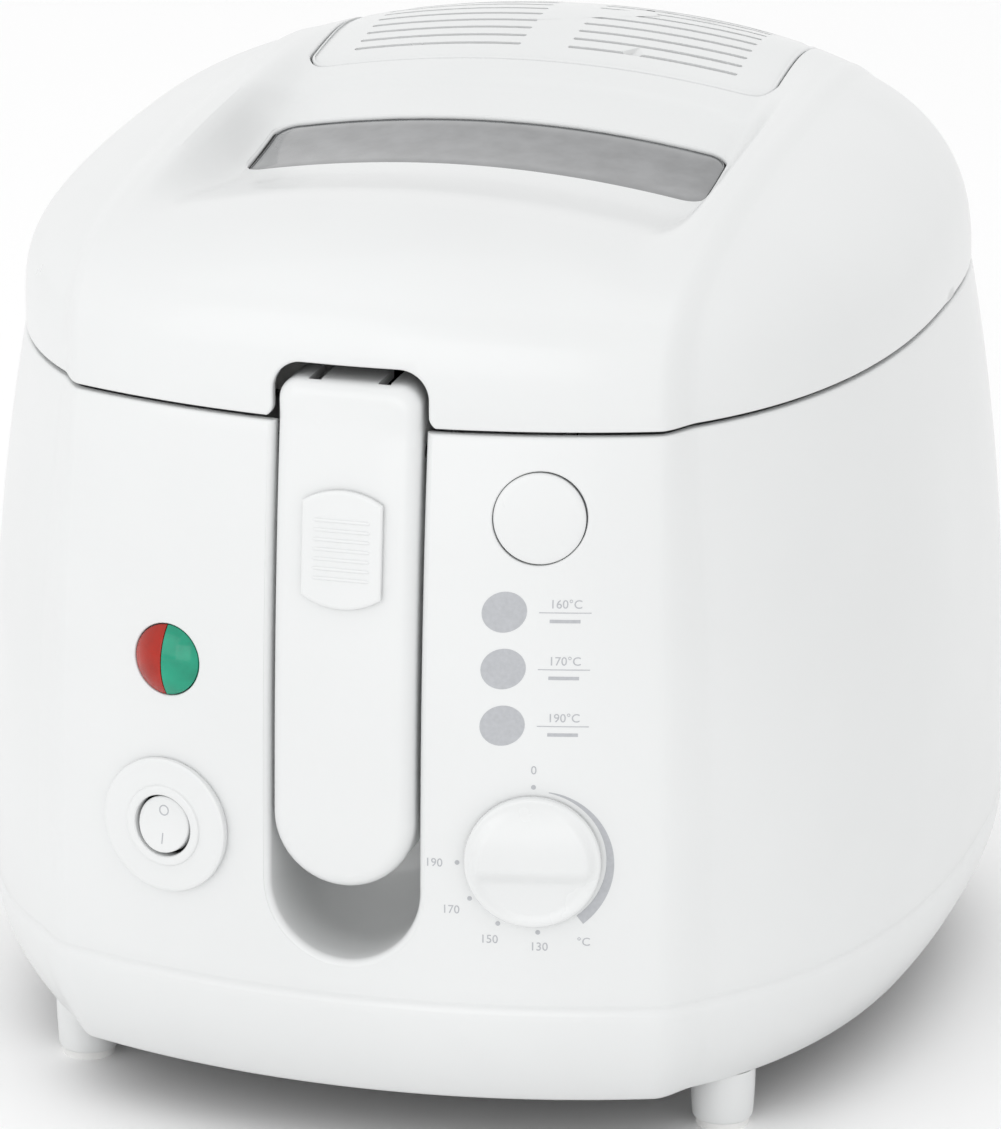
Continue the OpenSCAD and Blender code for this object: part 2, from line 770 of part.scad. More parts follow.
// A point of the lid's skin, t inside the outer face: i counts stations, u runs from front to back.
function lid_point(i, u, t) =
    let (
        x = stations[i],
        edge = u < 0 ? front_edge[i] : back_edge[i],
        rim = edge[0] - t * edge[1],
        spine = [x * (half_w - t) / half_w, crest_y * (1 - pow(abs(x) / half_w, 4))],
        p = spine + (rim - spine) * abs(u)
    )
    [p[0], p[1], lid_z + max(0, lid_rise(x) - t) * lid_fade(u) - lid_scoop(p[0], p[1])];

// The lid's skin as one closed solid, t thick.
module lid_skin(t = wall) {
    n = len(stations);
    row = 2 * lid_steps + 1;
    half = 2 + (n - 2) * row;
    function id(s, i, j) = s * half + (i == 0 ? 0 : i == n - 1 ? 1 : 2 + (i - 1) * row + j + lid_steps);
    function quad(a, b, c, d) = [for (f = [[a, d, c], [a, c, b]])
        if (f[0] != f[1] && f[1] != f[2] && f[0] != f[2]) f];
    points = [for (s = [0, 1]) each concat(
        [lid_point(0, 0, s * t), lid_point(n - 1, 0, s * t)],
        [for (i = [1:n - 2], j = [-lid_steps:lid_steps]) lid_point(i, lid_u(j), s * t)]
    )];
    faces = concat(
        [for (i = [0:n - 2], j = [-lid_steps:lid_steps - 1]) each
            quad(id(0, i, j), id(0, i + 1, j), id(0, i + 1, j + 1), id(0, i, j + 1))],
        [for (i = [0:n - 2], j = [-lid_steps:lid_steps - 1]) each
            quad(id(1, i, j), id(1, i, j + 1), id(1, i + 1, j + 1), id(1, i + 1, j))],
        [for (i = [0:n - 2], j = [-lid_steps]) each
            quad(id(1, i, j), id(1, i + 1, j), id(0, i + 1, j), id(0, i, j))],
        [for (i = [0:n - 2], j = [lid_steps]) each
            quad(id(0, i, j), id(0, i + 1, j), id(1, i + 1, j), id(1, i, j))]
    );
    polyhedron(points, faces, convexity = 8);
}

window_r = 6;
cover_r = 8;

module window_plan(g = 0) {
    rounded(-window_x - g, window_y0 - g, window_x + g, window_y1 + g, window_r + g);
}

module cover_plan(g = 0) {
    rounded(-cover_x - g, cover_y0 - g, cover_x + g, cover_y1 + g, cover_r + g);
}

module tower() {
    translate([0, 0, deck_z]) linear_extrude(lid_h + 30) children();
}

module notch_plan() {
    low = seam_z - 20;
    translate([-notch_x, low]) square([2 * notch_x, notch_z - notch_r - low]);
    translate([-notch_x + notch_r, low]) square([2 * (notch_x - notch_r), notch_z - low]);
    for (s = [-1, 1]) translate([s * (notch_x - notch_r), notch_z - notch_r]) circle(notch_r);
}

module lid_shell() color("whitesmoke") {
    difference() {
        lid_skin();
        upright(-panel_reach - 20, -panel_reach + 24) notch_plan();
        tower() window_plan();
        tower() cover_plan(trim_gap);
        for (s = [-1, 1]) hinge_strap(s, slack);
    }
}

pane_drop = 2;
pane_t = 2;
gasket_t = 1.6;

module window_pane() color("dimgray", 0.6) {
    intersection() {
        translate([0, 0, -pane_drop]) lid_skin(pane_t);
        tower() window_plan(-trim_gap);
    }
}

module window_gasket() color("black") {
    intersection() {
        translate([0, 0, -wall - pane_t - 2 * touch]) lid_skin(gasket_t);
        tower() difference() {
            window_plan(3);
            window_plan(-4);
        }
    }
}

liner_z = lid_z + 4;
liner_t = 1.5;
liner_grow = 4;             // how far liner and seal reach past the pan
liner_notch = 14;           // half width and depth of the notch for the bracket arms

module arm_notch_plan() {
    ahead = 30;
    translate([-liner_notch, pan_y0 - ahead]) square([2 * liner_notch, ahead + liner_notch]);
}

module lid_liner() color("silver") {
    hole_pitch = 9;
    translate([0, 0, liner_z]) linear_extrude(liner_t) difference() {
        pan_plan(liner_grow);
        window_plan(-2);
        arm_notch_plan();
        for (i = [-5:5], k = [0:4]) translate([i * hole_pitch, cover_y0 + 18 + k * hole_pitch])
            circle(2.4);
        for (p = liner_screw_spots) translate(p) circle(liner_screw_r + 0.2);
    }
}

module lid_seal() color("lightgray") {
    lift = 0.2;
    low = deck_z + pan_wall + lift;
    translate([0, 0, low]) linear_extrude(liner_z - low - touch) difference() {
        pan_plan(liner_grow);
        pan_plan(0);
        arm_notch_plan();
    }
}

frame_top = window_front_z() - pane_drop - pane_t - 6;
function window_front_z() = min([for (x = [0, window_x])
    let (w = abs(window_y0 - crest_y) / (crest_y + lobe(x, lobe_front)))
    lid_z + lid_rise(x) * lid_fade(-w) - lid_scoop(x, window_y0)]);

module window_frame() color("gainsboro") {
    low = liner_z + liner_t + touch;
    translate([0, 0, low]) linear_extrude(frame_top + touch - low) difference() {
        window_plan(1.4);
        window_plan(-0.4);
    }
}

tray_z = lid_z + 13.4;
tray_h = 12;
tray_in = 5;                // inset of the tray from the filter cover
tray_wall = 1.6;
filter_t = 4;

module filter_tray() color("gainsboro") {
    leg_in = 12;
    difference() {
        union() {
            translate([0, 0, tray_z]) linear_extrude(tray_h) cover_plan(-tray_in);
            for (x = [-1, 1], y = [cover_y0 + leg_in, cover_y1 - leg_in])
                translate([x * (cover_x - leg_in), y, liner_z + liner_t + touch])
                    cylinder(r = 3, h = tray_z - liner_z - liner_t);
        }
        translate([0, 0, tray_z + tray_wall]) linear_extrude(tray_h) cover_plan(-tray_in - tray_wall);
        for (i = [-6:6], k = [0:4]) translate([i * 8, cover_y0 + 15 + k * 10, tray_z - 1])
            cylinder(r = 2.5, h = tray_wall + 2);
    }
}

module grease_filter() color("white") {
    translate([0, 0, tray_z + tray_wall + 2 * touch]) linear_extrude(filter_t)
        cover_plan(-tray_in - tray_wall - 0.4);
}

module carbon_filter() color("black") {
    translate([0, 0, tray_z + tray_wall + filter_t + 4 * touch]) linear_extrude(filter_t)
        cover_plan(-tray_in - tray_wall - 0.4);
}

liner_screw_r = 1.9;
liner_screw_spots = [for (x = [-1, 1], y = [-1, 1])
    [x * (pan_x - 22), y > 0 ? pan_y1 - 30 : pan_y0 + 32]];

module liner_screws() color("silver") {
    head_t = 1.1;
    for (p = liner_screw_spots) translate([p[0], p[1], liner_z - head_t - touch]) {
        cylinder(r = 3.5, h = head_t);
        cylinder(r = liner_screw_r, h = 8);
    }
}

module filter_cover() color("whitesmoke") {
    slot_l = 50;
    slot_w = 1.6;
    slot_x = 32;
    slot_pitch = 6;
    difference() {
        intersection() {
            lid_skin();
            tower() cover_plan();
        }
        for (k = [0:8], s = [-1, 1])
            translate([s * slot_x - slot_l / 2, cover_y0 + 9 + k * slot_pitch, deck_z])
                cube([slot_l, slot_w, lid_h + 30]);
    }
}

// ---- Basket ----

module basket_mesh() color("silver") {
    difference() {
        translate([0, 0, basket_z0]) linear_extrude(basket_z1 - basket_z0) basket_plan();
        translate([0, 0, basket_z0 + mesh_wall])
            linear_extrude(basket_z1 - basket_z0) basket_plan(-mesh_wall);
    }
}

module basket_rim() color("silver") {
    translate([0, 0, basket_z1]) linear_extrude(rim_rod) difference() {
        basket_plan(rim_rod / 2);
        basket_plan(-rim_rod / 2);
    }
}

arm_drop = 44;              // how far the arms reach down behind the basket's rim
arm_h = 6;
bar_half = 4;
riser_y = pivot_y + 20.5;
riser_t = 3.7;
arm_z = deck_z + 2;
arm_back = 5;

module basket_bracket() color("silver") {
    arm_y = basket_y0 - rim_rod / 2;
    arm_top = arm_z + arm_h;
    for (s = [-1, 1]) sideways(s * arm_x - arm_t / 2, s * arm_x + arm_t / 2) difference() {
        union() {
            translate([pivot_y, pivot_z]) circle(pivot_r + 3);
            translate([pivot_y, pivot_z - bar_half]) square([riser_y - pivot_y, 2 * bar_half]);
            translate([riser_y, pivot_z - bar_half]) square([riser_t, arm_top - pivot_z + bar_half]);
            translate([riser_y, arm_z]) square([arm_y - riser_y, arm_h]);
            translate([arm_y - arm_back, basket_z1 - arm_drop])
                square([arm_back - slack / 2, arm_top - basket_z1 + arm_drop]);
        }
        translate([pivot_y, pivot_z]) circle(pivot_r + snug);
    }
    translate([-arm_x - 8, arm_y - 0.75, basket_z1 - arm_drop]) cube([2 * arm_x + 16, 2.6, 30]);
}

module grip_pin() color("silver") {
    bar_x(-grip_w / 2 + 0.5, grip_w / 2 - 0.5, pivot_y, pivot_z, pivot_r);
}

// ---- Folding grip ----

grip_corner = 6;
back_t = 2;
back_sink = 0.4;            // how far the grip's back lies inside its edge

module grip_plan(inset = 0) {
    r = grip_w / 2 - inset;
    corner = grip_corner - inset / 2;
    top = grip_z1 - inset;
    translate([0, grip_z0 + grip_w / 2]) circle(r);
    translate([-r, grip_z0 + grip_w / 2]) square([2 * r, top - corner - grip_z0 - grip_w / 2]);
    translate([-r + corner, top - corner - 1]) square([2 * (r - corner), corner + 1]);
    for (s = [-1, 1]) translate([s * (r - corner), top - corner]) circle(corner);
}

// Side view of the grip between two depths behind its front face.
module grip_side(d0, d1) {
    zs = [for (i = [0:10]) grip_z0 - 1 + (grip_z1 + 2 - grip_z0) * i / 10];
    polygon(concat(
        [for (z = zs) [panel_face(0, min(z, seam_z)) - grip_proud + d0, z]],
        [for (i = [10:-1:0]) [panel_face(0, min(zs[i], seam_z)) - grip_proud + d1, zs[i]]]
    ));
}

module grip_block(inset, d0, d1) {
    intersection() {
        upright(-panel_reach - 30, recess_y) grip_plan(inset);
        sideways(-grip_w, grip_w) grip_side(d0, d1);
    }
}

module grip_shell() color("whitesmoke") {
    slot = arm_t + 1.4;
    difference() {
        grip_block(0, 0, grip_d);
        grip_block(grip_wall, grip_wall, grip_d + 10);
        bar_x(-grip_w, grip_w, pivot_y, pivot_z, pivot_r + fit);
        for (s = [-1, 1]) translate([s * arm_x - slot / 2, pivot_y - 6.5, grip_z1 - grip_wall - 3])
            cube([slot, 40, grip_wall + 6]);
        on_grip(slider_z) translate([-neck / 2 - slack, -neck / 2 - 1 - slider_travel, -grip_wall - 3])
            cube([neck + 2 * slack, neck + 1.6 + slider_travel, grip_wall + 6]);
    }
}

module grip_back() color("whitesmoke") {
    difference() {
        grip_block(grip_wall + 0.25, grip_d - back_sink - back_t, grip_d - back_sink);
        translate([-grip_w, -panel_reach, pivot_z - 24]) cube([2 * grip_w, 60, 60]);
    }
}

module grip_screws() color("silver") {
    for (z = [grip_z0 + 18, slider_z - 30]) translate([0, panel_face(0, z) - grip_proud, z])
        rotate([-90, 0, 0]) {
            translate([0, 0, grip_wall + slack])
                cylinder(r = 1.6, h = grip_d - back_sink - back_t - 2 * slack + 0.2 - grip_wall);
        }
}

// ---- Lock slider ----

module slider_cap() color("whitesmoke") {
    bend = 20;
    on_grip(slider_z) {
        translate([0, 0, 0.4]) linear_extrude(cap_t) intersection() {
            translate([-slider_w / 2, -slider_h / 2]) square([slider_w, slider_h]);
            translate([0, slider_h / 2 - bend]) circle(bend, $fn = 96);
            translate([0, bend - slider_h / 2]) circle(bend, $fn = 96);
        }
        translate([-neck / 2, -neck / 2 - slack, -grip_wall - 1]) cube([neck, neck, grip_wall + 2]);
    }
}

module slider_bolt() color("silver") {
    on_grip(slider_z) translate([-6, -12, -grip_wall - 3.1]) cube([12, 22, 2]);
}

// ---- Knob ----

knob_lift = 0.5;            // gap between the panel and the knob

module knob() color("whitesmoke") {
    bar_w = 6;
    on_panel(control_x, dial_z) translate([0, 0, knob_lift]) {
        cylinder(r1 = knob_r, r2 = knob_r - 0.6, h = knob_rim);
        intersection() {
            translate([-knob_r, -bar_w / 2, 0]) cube([2 * knob_r, bar_w, knob_rim + knob_bar]);
            cylinder(r = knob_r - 1.5, h = knob_rim + knob_bar);
        }
    }
}

module knob_spindle() color("silver") {
    spindle_in = 18;
    on_panel(control_x, dial_z) translate([0, 0, -spindle_in])
        cylinder(r = spindle_r, h = spindle_in + knob_lift - touch);
}

module placed() translate([0, centre_shift, 0]) children();

placed() body_shell();
placed() grip_well();
placed() top_deck();
placed() base_plate();
placed() base_screws();
placed() feet();
placed() foot_pads();
placed() oil_pan();
placed() heating_element();
placed() heat_shield();
placed() thermostat_body();
placed() thermal_cutout();
placed() terminal_block();
placed() cord_gland();
placed() gland_nut();
placed() switch_bezel();
placed() switch_housing();
placed() lamp_holder();
placed() lamp_lens_red();
placed() lamp_lens_green();
placed() neon_lamps();
placed() button_guide();
placed() button_spring();
placed() latch_bracket();
placed() latch_pin();
placed() hinge_bracket();
placed() hinge_pin();
placed() lid_spring();
placed() lid_shell();
placed() lid_liner();
placed() lid_seal();
placed() window_pane();
placed() window_gasket();
placed() window_frame();
placed() filter_tray();
placed() grease_filter();
placed() carbon_filter();
placed() lid_hinge_arms();
placed() lid_catch();
placed() liner_screws();
placed() filter_cover();
placed() basket_mesh();
placed() basket_rim();
placed() basket_bracket();
placed() grip_pin();
placed() grip_shell();
placed() grip_back();
placed() grip_screws();
placed() slider_cap();
placed() slider_bolt();
placed() lid_button();
placed() latch_hook();
placed() power_rocker();
placed() knob();
placed() knob_spindle();
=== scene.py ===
"""Compact deep fryer: the visible pieces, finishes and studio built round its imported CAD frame."""

import math

import bmesh
import bpy
from bpy.props import FloatProperty, FloatVectorProperty, PointerProperty
from mathutils import Matrix, Vector


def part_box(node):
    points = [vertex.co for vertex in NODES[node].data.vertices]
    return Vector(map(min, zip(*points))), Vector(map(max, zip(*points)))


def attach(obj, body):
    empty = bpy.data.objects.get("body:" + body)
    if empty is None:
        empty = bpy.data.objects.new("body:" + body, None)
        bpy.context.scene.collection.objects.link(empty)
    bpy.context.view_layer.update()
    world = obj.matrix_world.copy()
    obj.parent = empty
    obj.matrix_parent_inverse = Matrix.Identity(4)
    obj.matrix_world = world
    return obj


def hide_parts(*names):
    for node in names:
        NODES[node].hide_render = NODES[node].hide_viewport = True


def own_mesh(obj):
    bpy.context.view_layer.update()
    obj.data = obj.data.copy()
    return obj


bl_info = {
    "name": "Deep Fryer",
    "version": (1, 0, 0),
    "blender": (4, 5, 0),
    "location": "3D View > Sidebar > Fryer",
    "description": "Builds the pieces and finishes of a compact deep fryer round its CAD frame",
    "category": "Object",
}

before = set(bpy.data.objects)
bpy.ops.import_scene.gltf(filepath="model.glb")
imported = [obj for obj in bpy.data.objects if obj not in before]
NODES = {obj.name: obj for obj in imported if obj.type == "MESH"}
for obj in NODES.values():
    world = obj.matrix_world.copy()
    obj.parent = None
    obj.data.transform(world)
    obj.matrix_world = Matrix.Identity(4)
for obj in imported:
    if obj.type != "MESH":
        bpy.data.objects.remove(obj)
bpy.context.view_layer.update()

# ---- Sizes of the frame, in millimetres, with y = 0 on the housing's widest line ----

HALF_W = 127.0          # half width of the housing at the seam
LOBE_FRONT = 166.0      # depth of the rounded outline ahead of and behind the widest line
LOBE_BACK = 132.0
ROUNDNESS = 2.5
SEAM_Z = 205.0
RIM_Z = 204.4           # top of the housing and foot of the lid
LID_Z = 205.6
BASE_Z = 17.0
WALL = 2.6
SWELL_FRONT = 9.0
SWELL_SIDE = 12.5
WAIST_HI, WAIST_LO = 60.0, 45.0
HEEL_IN = 10.0
PANEL_HALF, PANEL_STEP = 80.0, 8.0
PANEL_R = 228.0
PANEL_CY = 67.5         # centre of the front panel's plan radius
CREST_Y = 52.0
SCOOP_D, SCOOP_X, SCOOP_SIDE = 15.0, 78.0, 13.0
SCOOP_Y, SCOOP_AHEAD, SCOOP_BEHIND = -46.0, 84.0, 116.0
LID_H, LID_FALL, LID_SIDE_H = 61.0, 10.0, 55.0
CONTROL_X = 51.0
DIAL_Z, LAMP_Z, BUTTON_Z = 90.0, 136.0, 183.0
RECESS_X, RECESS_Y, RECESS_Z = 20.7, -128.0, 78.7
GRIP_HALF, GRIP_Z0, GRIP_Z1, GRIP_D, GRIP_PROUD = 19.5, 79.0, 217.0, 18.0, 2.5
PIVOT_Y, PIVOT_Z, PIVOT_R = -153.0, 198.0, 3.0
SLIDER_Z, SLIDER_W, SLIDER_H = 173.0, 22.0, 32.0
ROCKER_R = 7.8
HINGE_Y, HINGE_Z = 140.0, 203.0
GLAND_X, GLAND_Z = -40.0, 52.0
WINDOW = (-66.0, -46.0, 66.0, -12.0, 6.0)
COVER = (-69.0, 22.0, 69.0, 92.0, 8.0)
BASKET = (-88.8, -104.8, 88.8, 94.8, 48.8)
BASKET_LOW, BASKET_HIGH = 67.2, 184.0
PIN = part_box("hinge_pin")
SHIFT = (PIN[0][1] + PIN[1][1]) * 500 - HINGE_Y     # from the widest line to the frame's origin


def at(x, y, z):
    """A point in metres in the frame, from millimetres off the housing's widest line."""
    return Vector((x, y + SHIFT, z)) * 0.001


def mm(length):
    """A property's length in millimetres."""
    return length * 1000


# ---- The rules of the housing and the lid ----


def smooth(t):
    t = min(1.0, max(0.0, t))
    return t * t * (3 - 2 * t)


def lobe(x, depth):
    return depth * max(0.0, 1 - (abs(x) / HALF_W) ** ROUNDNESS) ** (1 / ROUNDNESS)


def panel_line(x, out=0.0):
    return PANEL_CY - math.sqrt((PANEL_R + out) ** 2 - x * x)


def panel_mix(x):
    return 1 - smooth((abs(x) - PANEL_HALF) / PANEL_STEP)


def front_line(x):
    m = panel_mix(x)
    return m * panel_line(min(abs(x), PANEL_HALF + PANEL_STEP)) - (1 - m) * lobe(x, LOBE_FRONT)


def lobe_out(x, y, depth):
    return Vector((
        math.copysign((abs(x) / HALF_W) ** (ROUNDNESS - 1) / HALF_W, x),
        math.copysign((abs(y) / depth) ** (ROUNDNESS - 1) / depth, y),
    )).normalized()


def front_out(x):
    m = panel_mix(x)
    px = math.copysign(min(abs(x), PANEL_HALF + PANEL_STEP), x)
    panel = Vector((px, -math.sqrt(PANEL_R ** 2 - px * px))) / PANEL_R
    return (m * panel + (1 - m) * lobe_out(x, -lobe(x, LOBE_FRONT), LOBE_FRONT)).normalized()


def stations(flat=32, step=8, side=44):
    """Sideways places across the width, closer together at the panel's step and round the sides."""
    edge = PANEL_HALF + PANEL_STEP
    turn = math.asin((edge / HALF_W) ** (ROUNDNESS / 2))
    half = [PANEL_HALF * i / flat for i in range(flat + 1)]
    half += [PANEL_HALF + PANEL_STEP * (i + 1) / step for i in range(step)]
    half += [
        HALF_W * math.sin(turn + (math.pi / 2 - turn) * (i + 1) / side) ** (2 / ROUNDNESS)
        for i in range(side)
    ]
    return [-x for x in half[:0:-1]] + half


def edges_at(xs):
    """The seam outline's front and back: a point and its outward direction at each station."""
    front = [(Vector((x, front_line(x))), front_out(x)) for x in xs]
    rear = [(x, lobe(x, LOBE_BACK)) for x in xs]
    return front, [(Vector(p), lobe_out(*p, LOBE_BACK)) for p in rear]


def swell(z, out):
    """How far the housing stands outside the seam outline at height z, facing direction out."""
    back = max(0.0, out[1])
    full = SWELL_FRONT + (SWELL_SIDE - SWELL_FRONT) * max(abs(out[0]) ** 1.5, back)
    if z >= WAIST_HI:
        return full * (1 - (1 - min(1.0, max(0.0, (SEAM_Z - z) / (SEAM_Z - WAIST_HI)))) ** 2.2)
    if z >= WAIST_LO:
        return full
    return full - (full + HEEL_IN * back) * ((WAIST_LO - z) / (WAIST_LO - BASE_Z)) ** 1.8


def panel_face(x, z):
    return panel_line(x, swell(z, (0, -1)))


def panel_frame(x, z):
    """Origin and the sideways, upward and outward directions of the front panel at a place."""
    turn = math.asin(x / (PANEL_R + swell(z, (0, -1))))
    lean = math.atan((panel_face(0, z + 1) - panel_face(0, z - 1)) / 2)
    st, ct, sl, cl = math.sin(turn), math.cos(turn), math.sin(lean), math.cos(lean)
    return (
        Vector((x, panel_face(x, z), z)),
        Vector((ct, st, 0)),
        Vector((-sl * st, sl * ct, cl)),
        Vector((cl * st, -cl * ct, sl)),
    )


def on_panel(x, z):
    """A map from local sideways, upward and outward millimetres to the drafting frame."""
    origin, right, up, out = panel_frame(x, z)
    return lambda u, v, w: origin + right * u + up * v + out * w


def over_panel(x, z):
    """The same, but following the panel's curve, for what is printed on it."""
    _, right, up, _ = panel_frame(x, z)

    def place(u, v, w):
        origin, side, _, out = panel_frame(x + u * right.x, z + v * up.z)
        level = Vector((side.y, -side.x, 0))
        proud = swell(origin.z, level) - swell(origin.z, (0, -1))
        return origin + level * proud + out * w

    return place


def on_grip(z):
    """The same, on the grip's front face."""
    origin, right, up, out = panel_frame(0, z)
    origin.y -= GRIP_PROUD
    return lambda u, v, w: origin + right * u + up * v + out * w


def lid_rise(x):
    m = panel_mix(x)
    middle = LID_H - LID_FALL * (min(abs(x), PANEL_HALF) / PANEL_HALF) ** 2
    side = LID_SIDE_H * max(0.0, 1 - (abs(x) / HALF_W) ** 3) ** (1 / 3)
    return m * middle + (1 - m) * side


def lid_fade(u):
    if u < 0:
        return max(0.0, 1 - u * u) ** (1 / 4.3)
    return max(0.0, 1 - u ** 2.2) ** (1 / 2.4)


def lid_spine(x):
    return CREST_Y * (1 - (abs(x) / HALF_W) ** 4)


def lid_scoop(x, y):
    """How far the lid's front strip dips below its ridges."""
    run = SCOOP_AHEAD if y < SCOOP_Y else SCOOP_BEHIND
    return SCOOP_D * smooth((SCOOP_X - abs(x)) / SCOOP_SIDE) * (1 - smooth(abs(y - SCOOP_Y) / run))


def lid_relief(x, y):
    """How far the lid's face is sunk ahead of the crease in front of the filter cover."""
    sizes = bpy.context.scene.fryer_sizes
    px, py, r = abs(x) - 76 + 26, y - 13 + 26, 26
    gap = math.hypot(max(px, 0), max(py, 0)) + min(max(px, py), 0) - r
    return mm(sizes.crease_depth) * smooth(-gap / 5) * smooth((y + 118) / 70)


def lid_top(x, y):
    """Height of the lid's face over a place."""
    spine = lid_spine(x)
    edge = front_line(x) if y < spine else lobe(x, LOBE_BACK)
    u = min(1.0, (y - spine) / (edge - spine)) * (-1 if y < spine else 1)
    return LID_Z + lid_rise(x) * lid_fade(u) - lid_scoop(x, y) - lid_relief(x, y)


def lid_front(x, z):
    """Depth of the lid's front face at a height."""
    spine = lid_spine(x)
    u = math.sqrt(max(0.0, 1 - min(1.0, max(0.0, z - LID_Z) / lid_rise(x)) ** 4.3))
    return spine + (front_line(x) - spine) * u


GLAND_Y = lobe(GLAND_X, LOBE_BACK) + SWELL_SIDE      # the housing's wall at the cord inlet


# ---- Mesh making ----


def add_object(name, data):
    ob = bpy.data.objects.new(name, data)
    bpy.context.scene.collection.objects.link(ob)
    return ob


def solid(name, points, faces, merge=1e-7):
    """A closed piece from points in drafting millimetres, with doubles merged and faces outward."""
    mesh = bpy.data.meshes.new(name)
    mesh.from_pydata([at(*p) for p in points], [], faces)
    bm = bmesh.new()
    bm.from_mesh(mesh)
    bmesh.ops.remove_doubles(bm, verts=bm.verts, dist=merge)
    bmesh.ops.dissolve_degenerate(bm, edges=bm.edges, dist=merge)
    bmesh.ops.recalc_face_normals(bm, faces=bm.faces)
    bm.to_mesh(mesh)
    bm.free()
    return add_object(name, mesh)


def loft(rings, closed=False, caps=True):
    """Points and faces through equal closed rings; closed joins the last ring to the first."""
    n, count = len(rings[0]), len(rings)
    faces = []
    for j in range(count if closed else count - 1):
        a, b = j * n, (j + 1) % count * n
        faces += [(a + i, a + (i + 1) % n, b + (i + 1) % n, b + i) for i in range(n)]
    if caps and not closed:
        faces += [tuple(range(n)), tuple(range((count - 1) * n, count * n))]
    return [p for ring in rings for p in ring], faces


def round_rings(profile, place, count=96):
    """Rings about an axis, one for each radius and height pair of the profile."""
    turn = [2 * math.pi * i / count for i in range(count)]
    return [[place(r * math.cos(a), r * math.sin(a), h) for a in turn] for r, h in profile]


def lathe(profile, place, count=96):
    """A turned shape whose profile runs from the axis round to the axis."""
    return loft(round_rings(profile, place, count), caps=False)


def turned(profile, place, count=96):
    """A turned ring whose profile never meets the axis."""
    return loft(round_rings(profile, place, count), closed=True)


def zipped(first, count, middle):
    """Faces that close a symmetrical ring by joining mirrored points; middle is on the axis."""
    faces = []
    for k in range(count // 2):
        face = []
        for i in (middle + k, middle + k + 1, middle - k - 1, middle - k):
            if first + i % count not in face:
                face.append(first + i % count)
        if len(face) > 2:
            faces.append(tuple(face))
    return faces


def arc(cx, cy, r, start, end, steps):
    turn = [math.radians(start + (end - start) * i / steps) for i in range(steps + 1)]
    return [(cx + r * math.cos(a), cy + r * math.sin(a)) for a in turn]


def line(start, end, steps):
    """Points from start towards end, both left out."""
    return [tuple(a + (b - a) * i / steps for a, b in zip(start, end)) for i in range(1, steps)]


def rounded_plan(box, grow=0.0, per_corner=12, straight=16):
    """A rounded rectangle's outline as points, grown on every side."""
    x0, y0, x1, y1, r = box
    x0, y0, x1, y1, r = x0 - grow, y0 - grow, x1 + grow, y1 + grow, r + grow
    left, right, low, high = x0 + r, x1 - r, y0 + r, y1 - r
    corners = ((right, low, -90), (right, high, 0), (left, high, 90), (left, low, 180))
    arcs = [arc(cx, cy, r, a, a + 90, per_corner) for cx, cy, a in corners]
    out = []
    for bend, after in zip(arcs, arcs[1:] + arcs[:1]):
        out += bend + line(bend[-1], after[0], straight)
    return out


def evaluated(ob):
    """A new mesh with all that an object's curve or modifiers make."""
    bpy.context.view_layer.update()
    graph = bpy.context.evaluated_depsgraph_get()
    return bpy.data.meshes.new_from_object(ob.evaluated_get(graph))


def apply_all(ob):
    """Turns an object's modifiers into its mesh."""
    made = evaluated(ob)
    made.name = ob.name
    ob.modifiers.clear()
    ob.data = made
    return ob


def carve(ob, *tools, operation="DIFFERENCE"):
    """Cuts, keeps or adds the tools' volumes, then removes the tools."""
    for tool in tools:
        step = ob.modifiers.new("carve", "BOOLEAN")
        step.object = tool
        step.operation = operation
        step.solver = "MANIFOLD"
    apply_all(ob)
    for tool in tools:
        bpy.data.objects.remove(tool)
    if not ob.data.polygons:
        raise RuntimeError(f"nothing was left of {ob.name}")
    return ob


def joined(ob, *others):
    """Adds other closed shapes to a piece's mesh and removes their objects."""
    bm = bmesh.new()
    for part in (ob, *others):
        bm.from_mesh(part.data)
    bm.to_mesh(ob.data)
    bm.free()
    for other in others:
        bpy.data.objects.remove(other)
    return ob


def dress(ob, finish, body, replaces=(), crisp=32):
    """Smooth shading, finish, body, slot and the CAD nodes the piece stands for."""
    mesh = ob.data
    mesh.materials.clear()
    mesh.materials.append(FINISHES[finish])
    for face in mesh.polygons:
        face.material_index = 0
    mesh.shade_smooth()
    mesh.set_sharp_from_angle(angle=math.radians(crisp))
    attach(ob, body)
    if replaces:
        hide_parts(*replaces)
    return ob


# ---- Shader maths ----


class Wire:
    """A shader socket that takes part in sums."""

    def __init__(self, finish, socket):
        self.finish = finish
        self.socket = socket

    def __add__(self, other):
        return self.finish.maths("ADD", self, other)

    def __sub__(self, other):
        return self.finish.maths("SUBTRACT", self, other)

    def __rsub__(self, other):
        return self.finish.maths("SUBTRACT", other, self)

    def __mul__(self, other):
        return self.finish.maths("MULTIPLY", self, other)

    __radd__ = __add__
    __rmul__ = __mul__


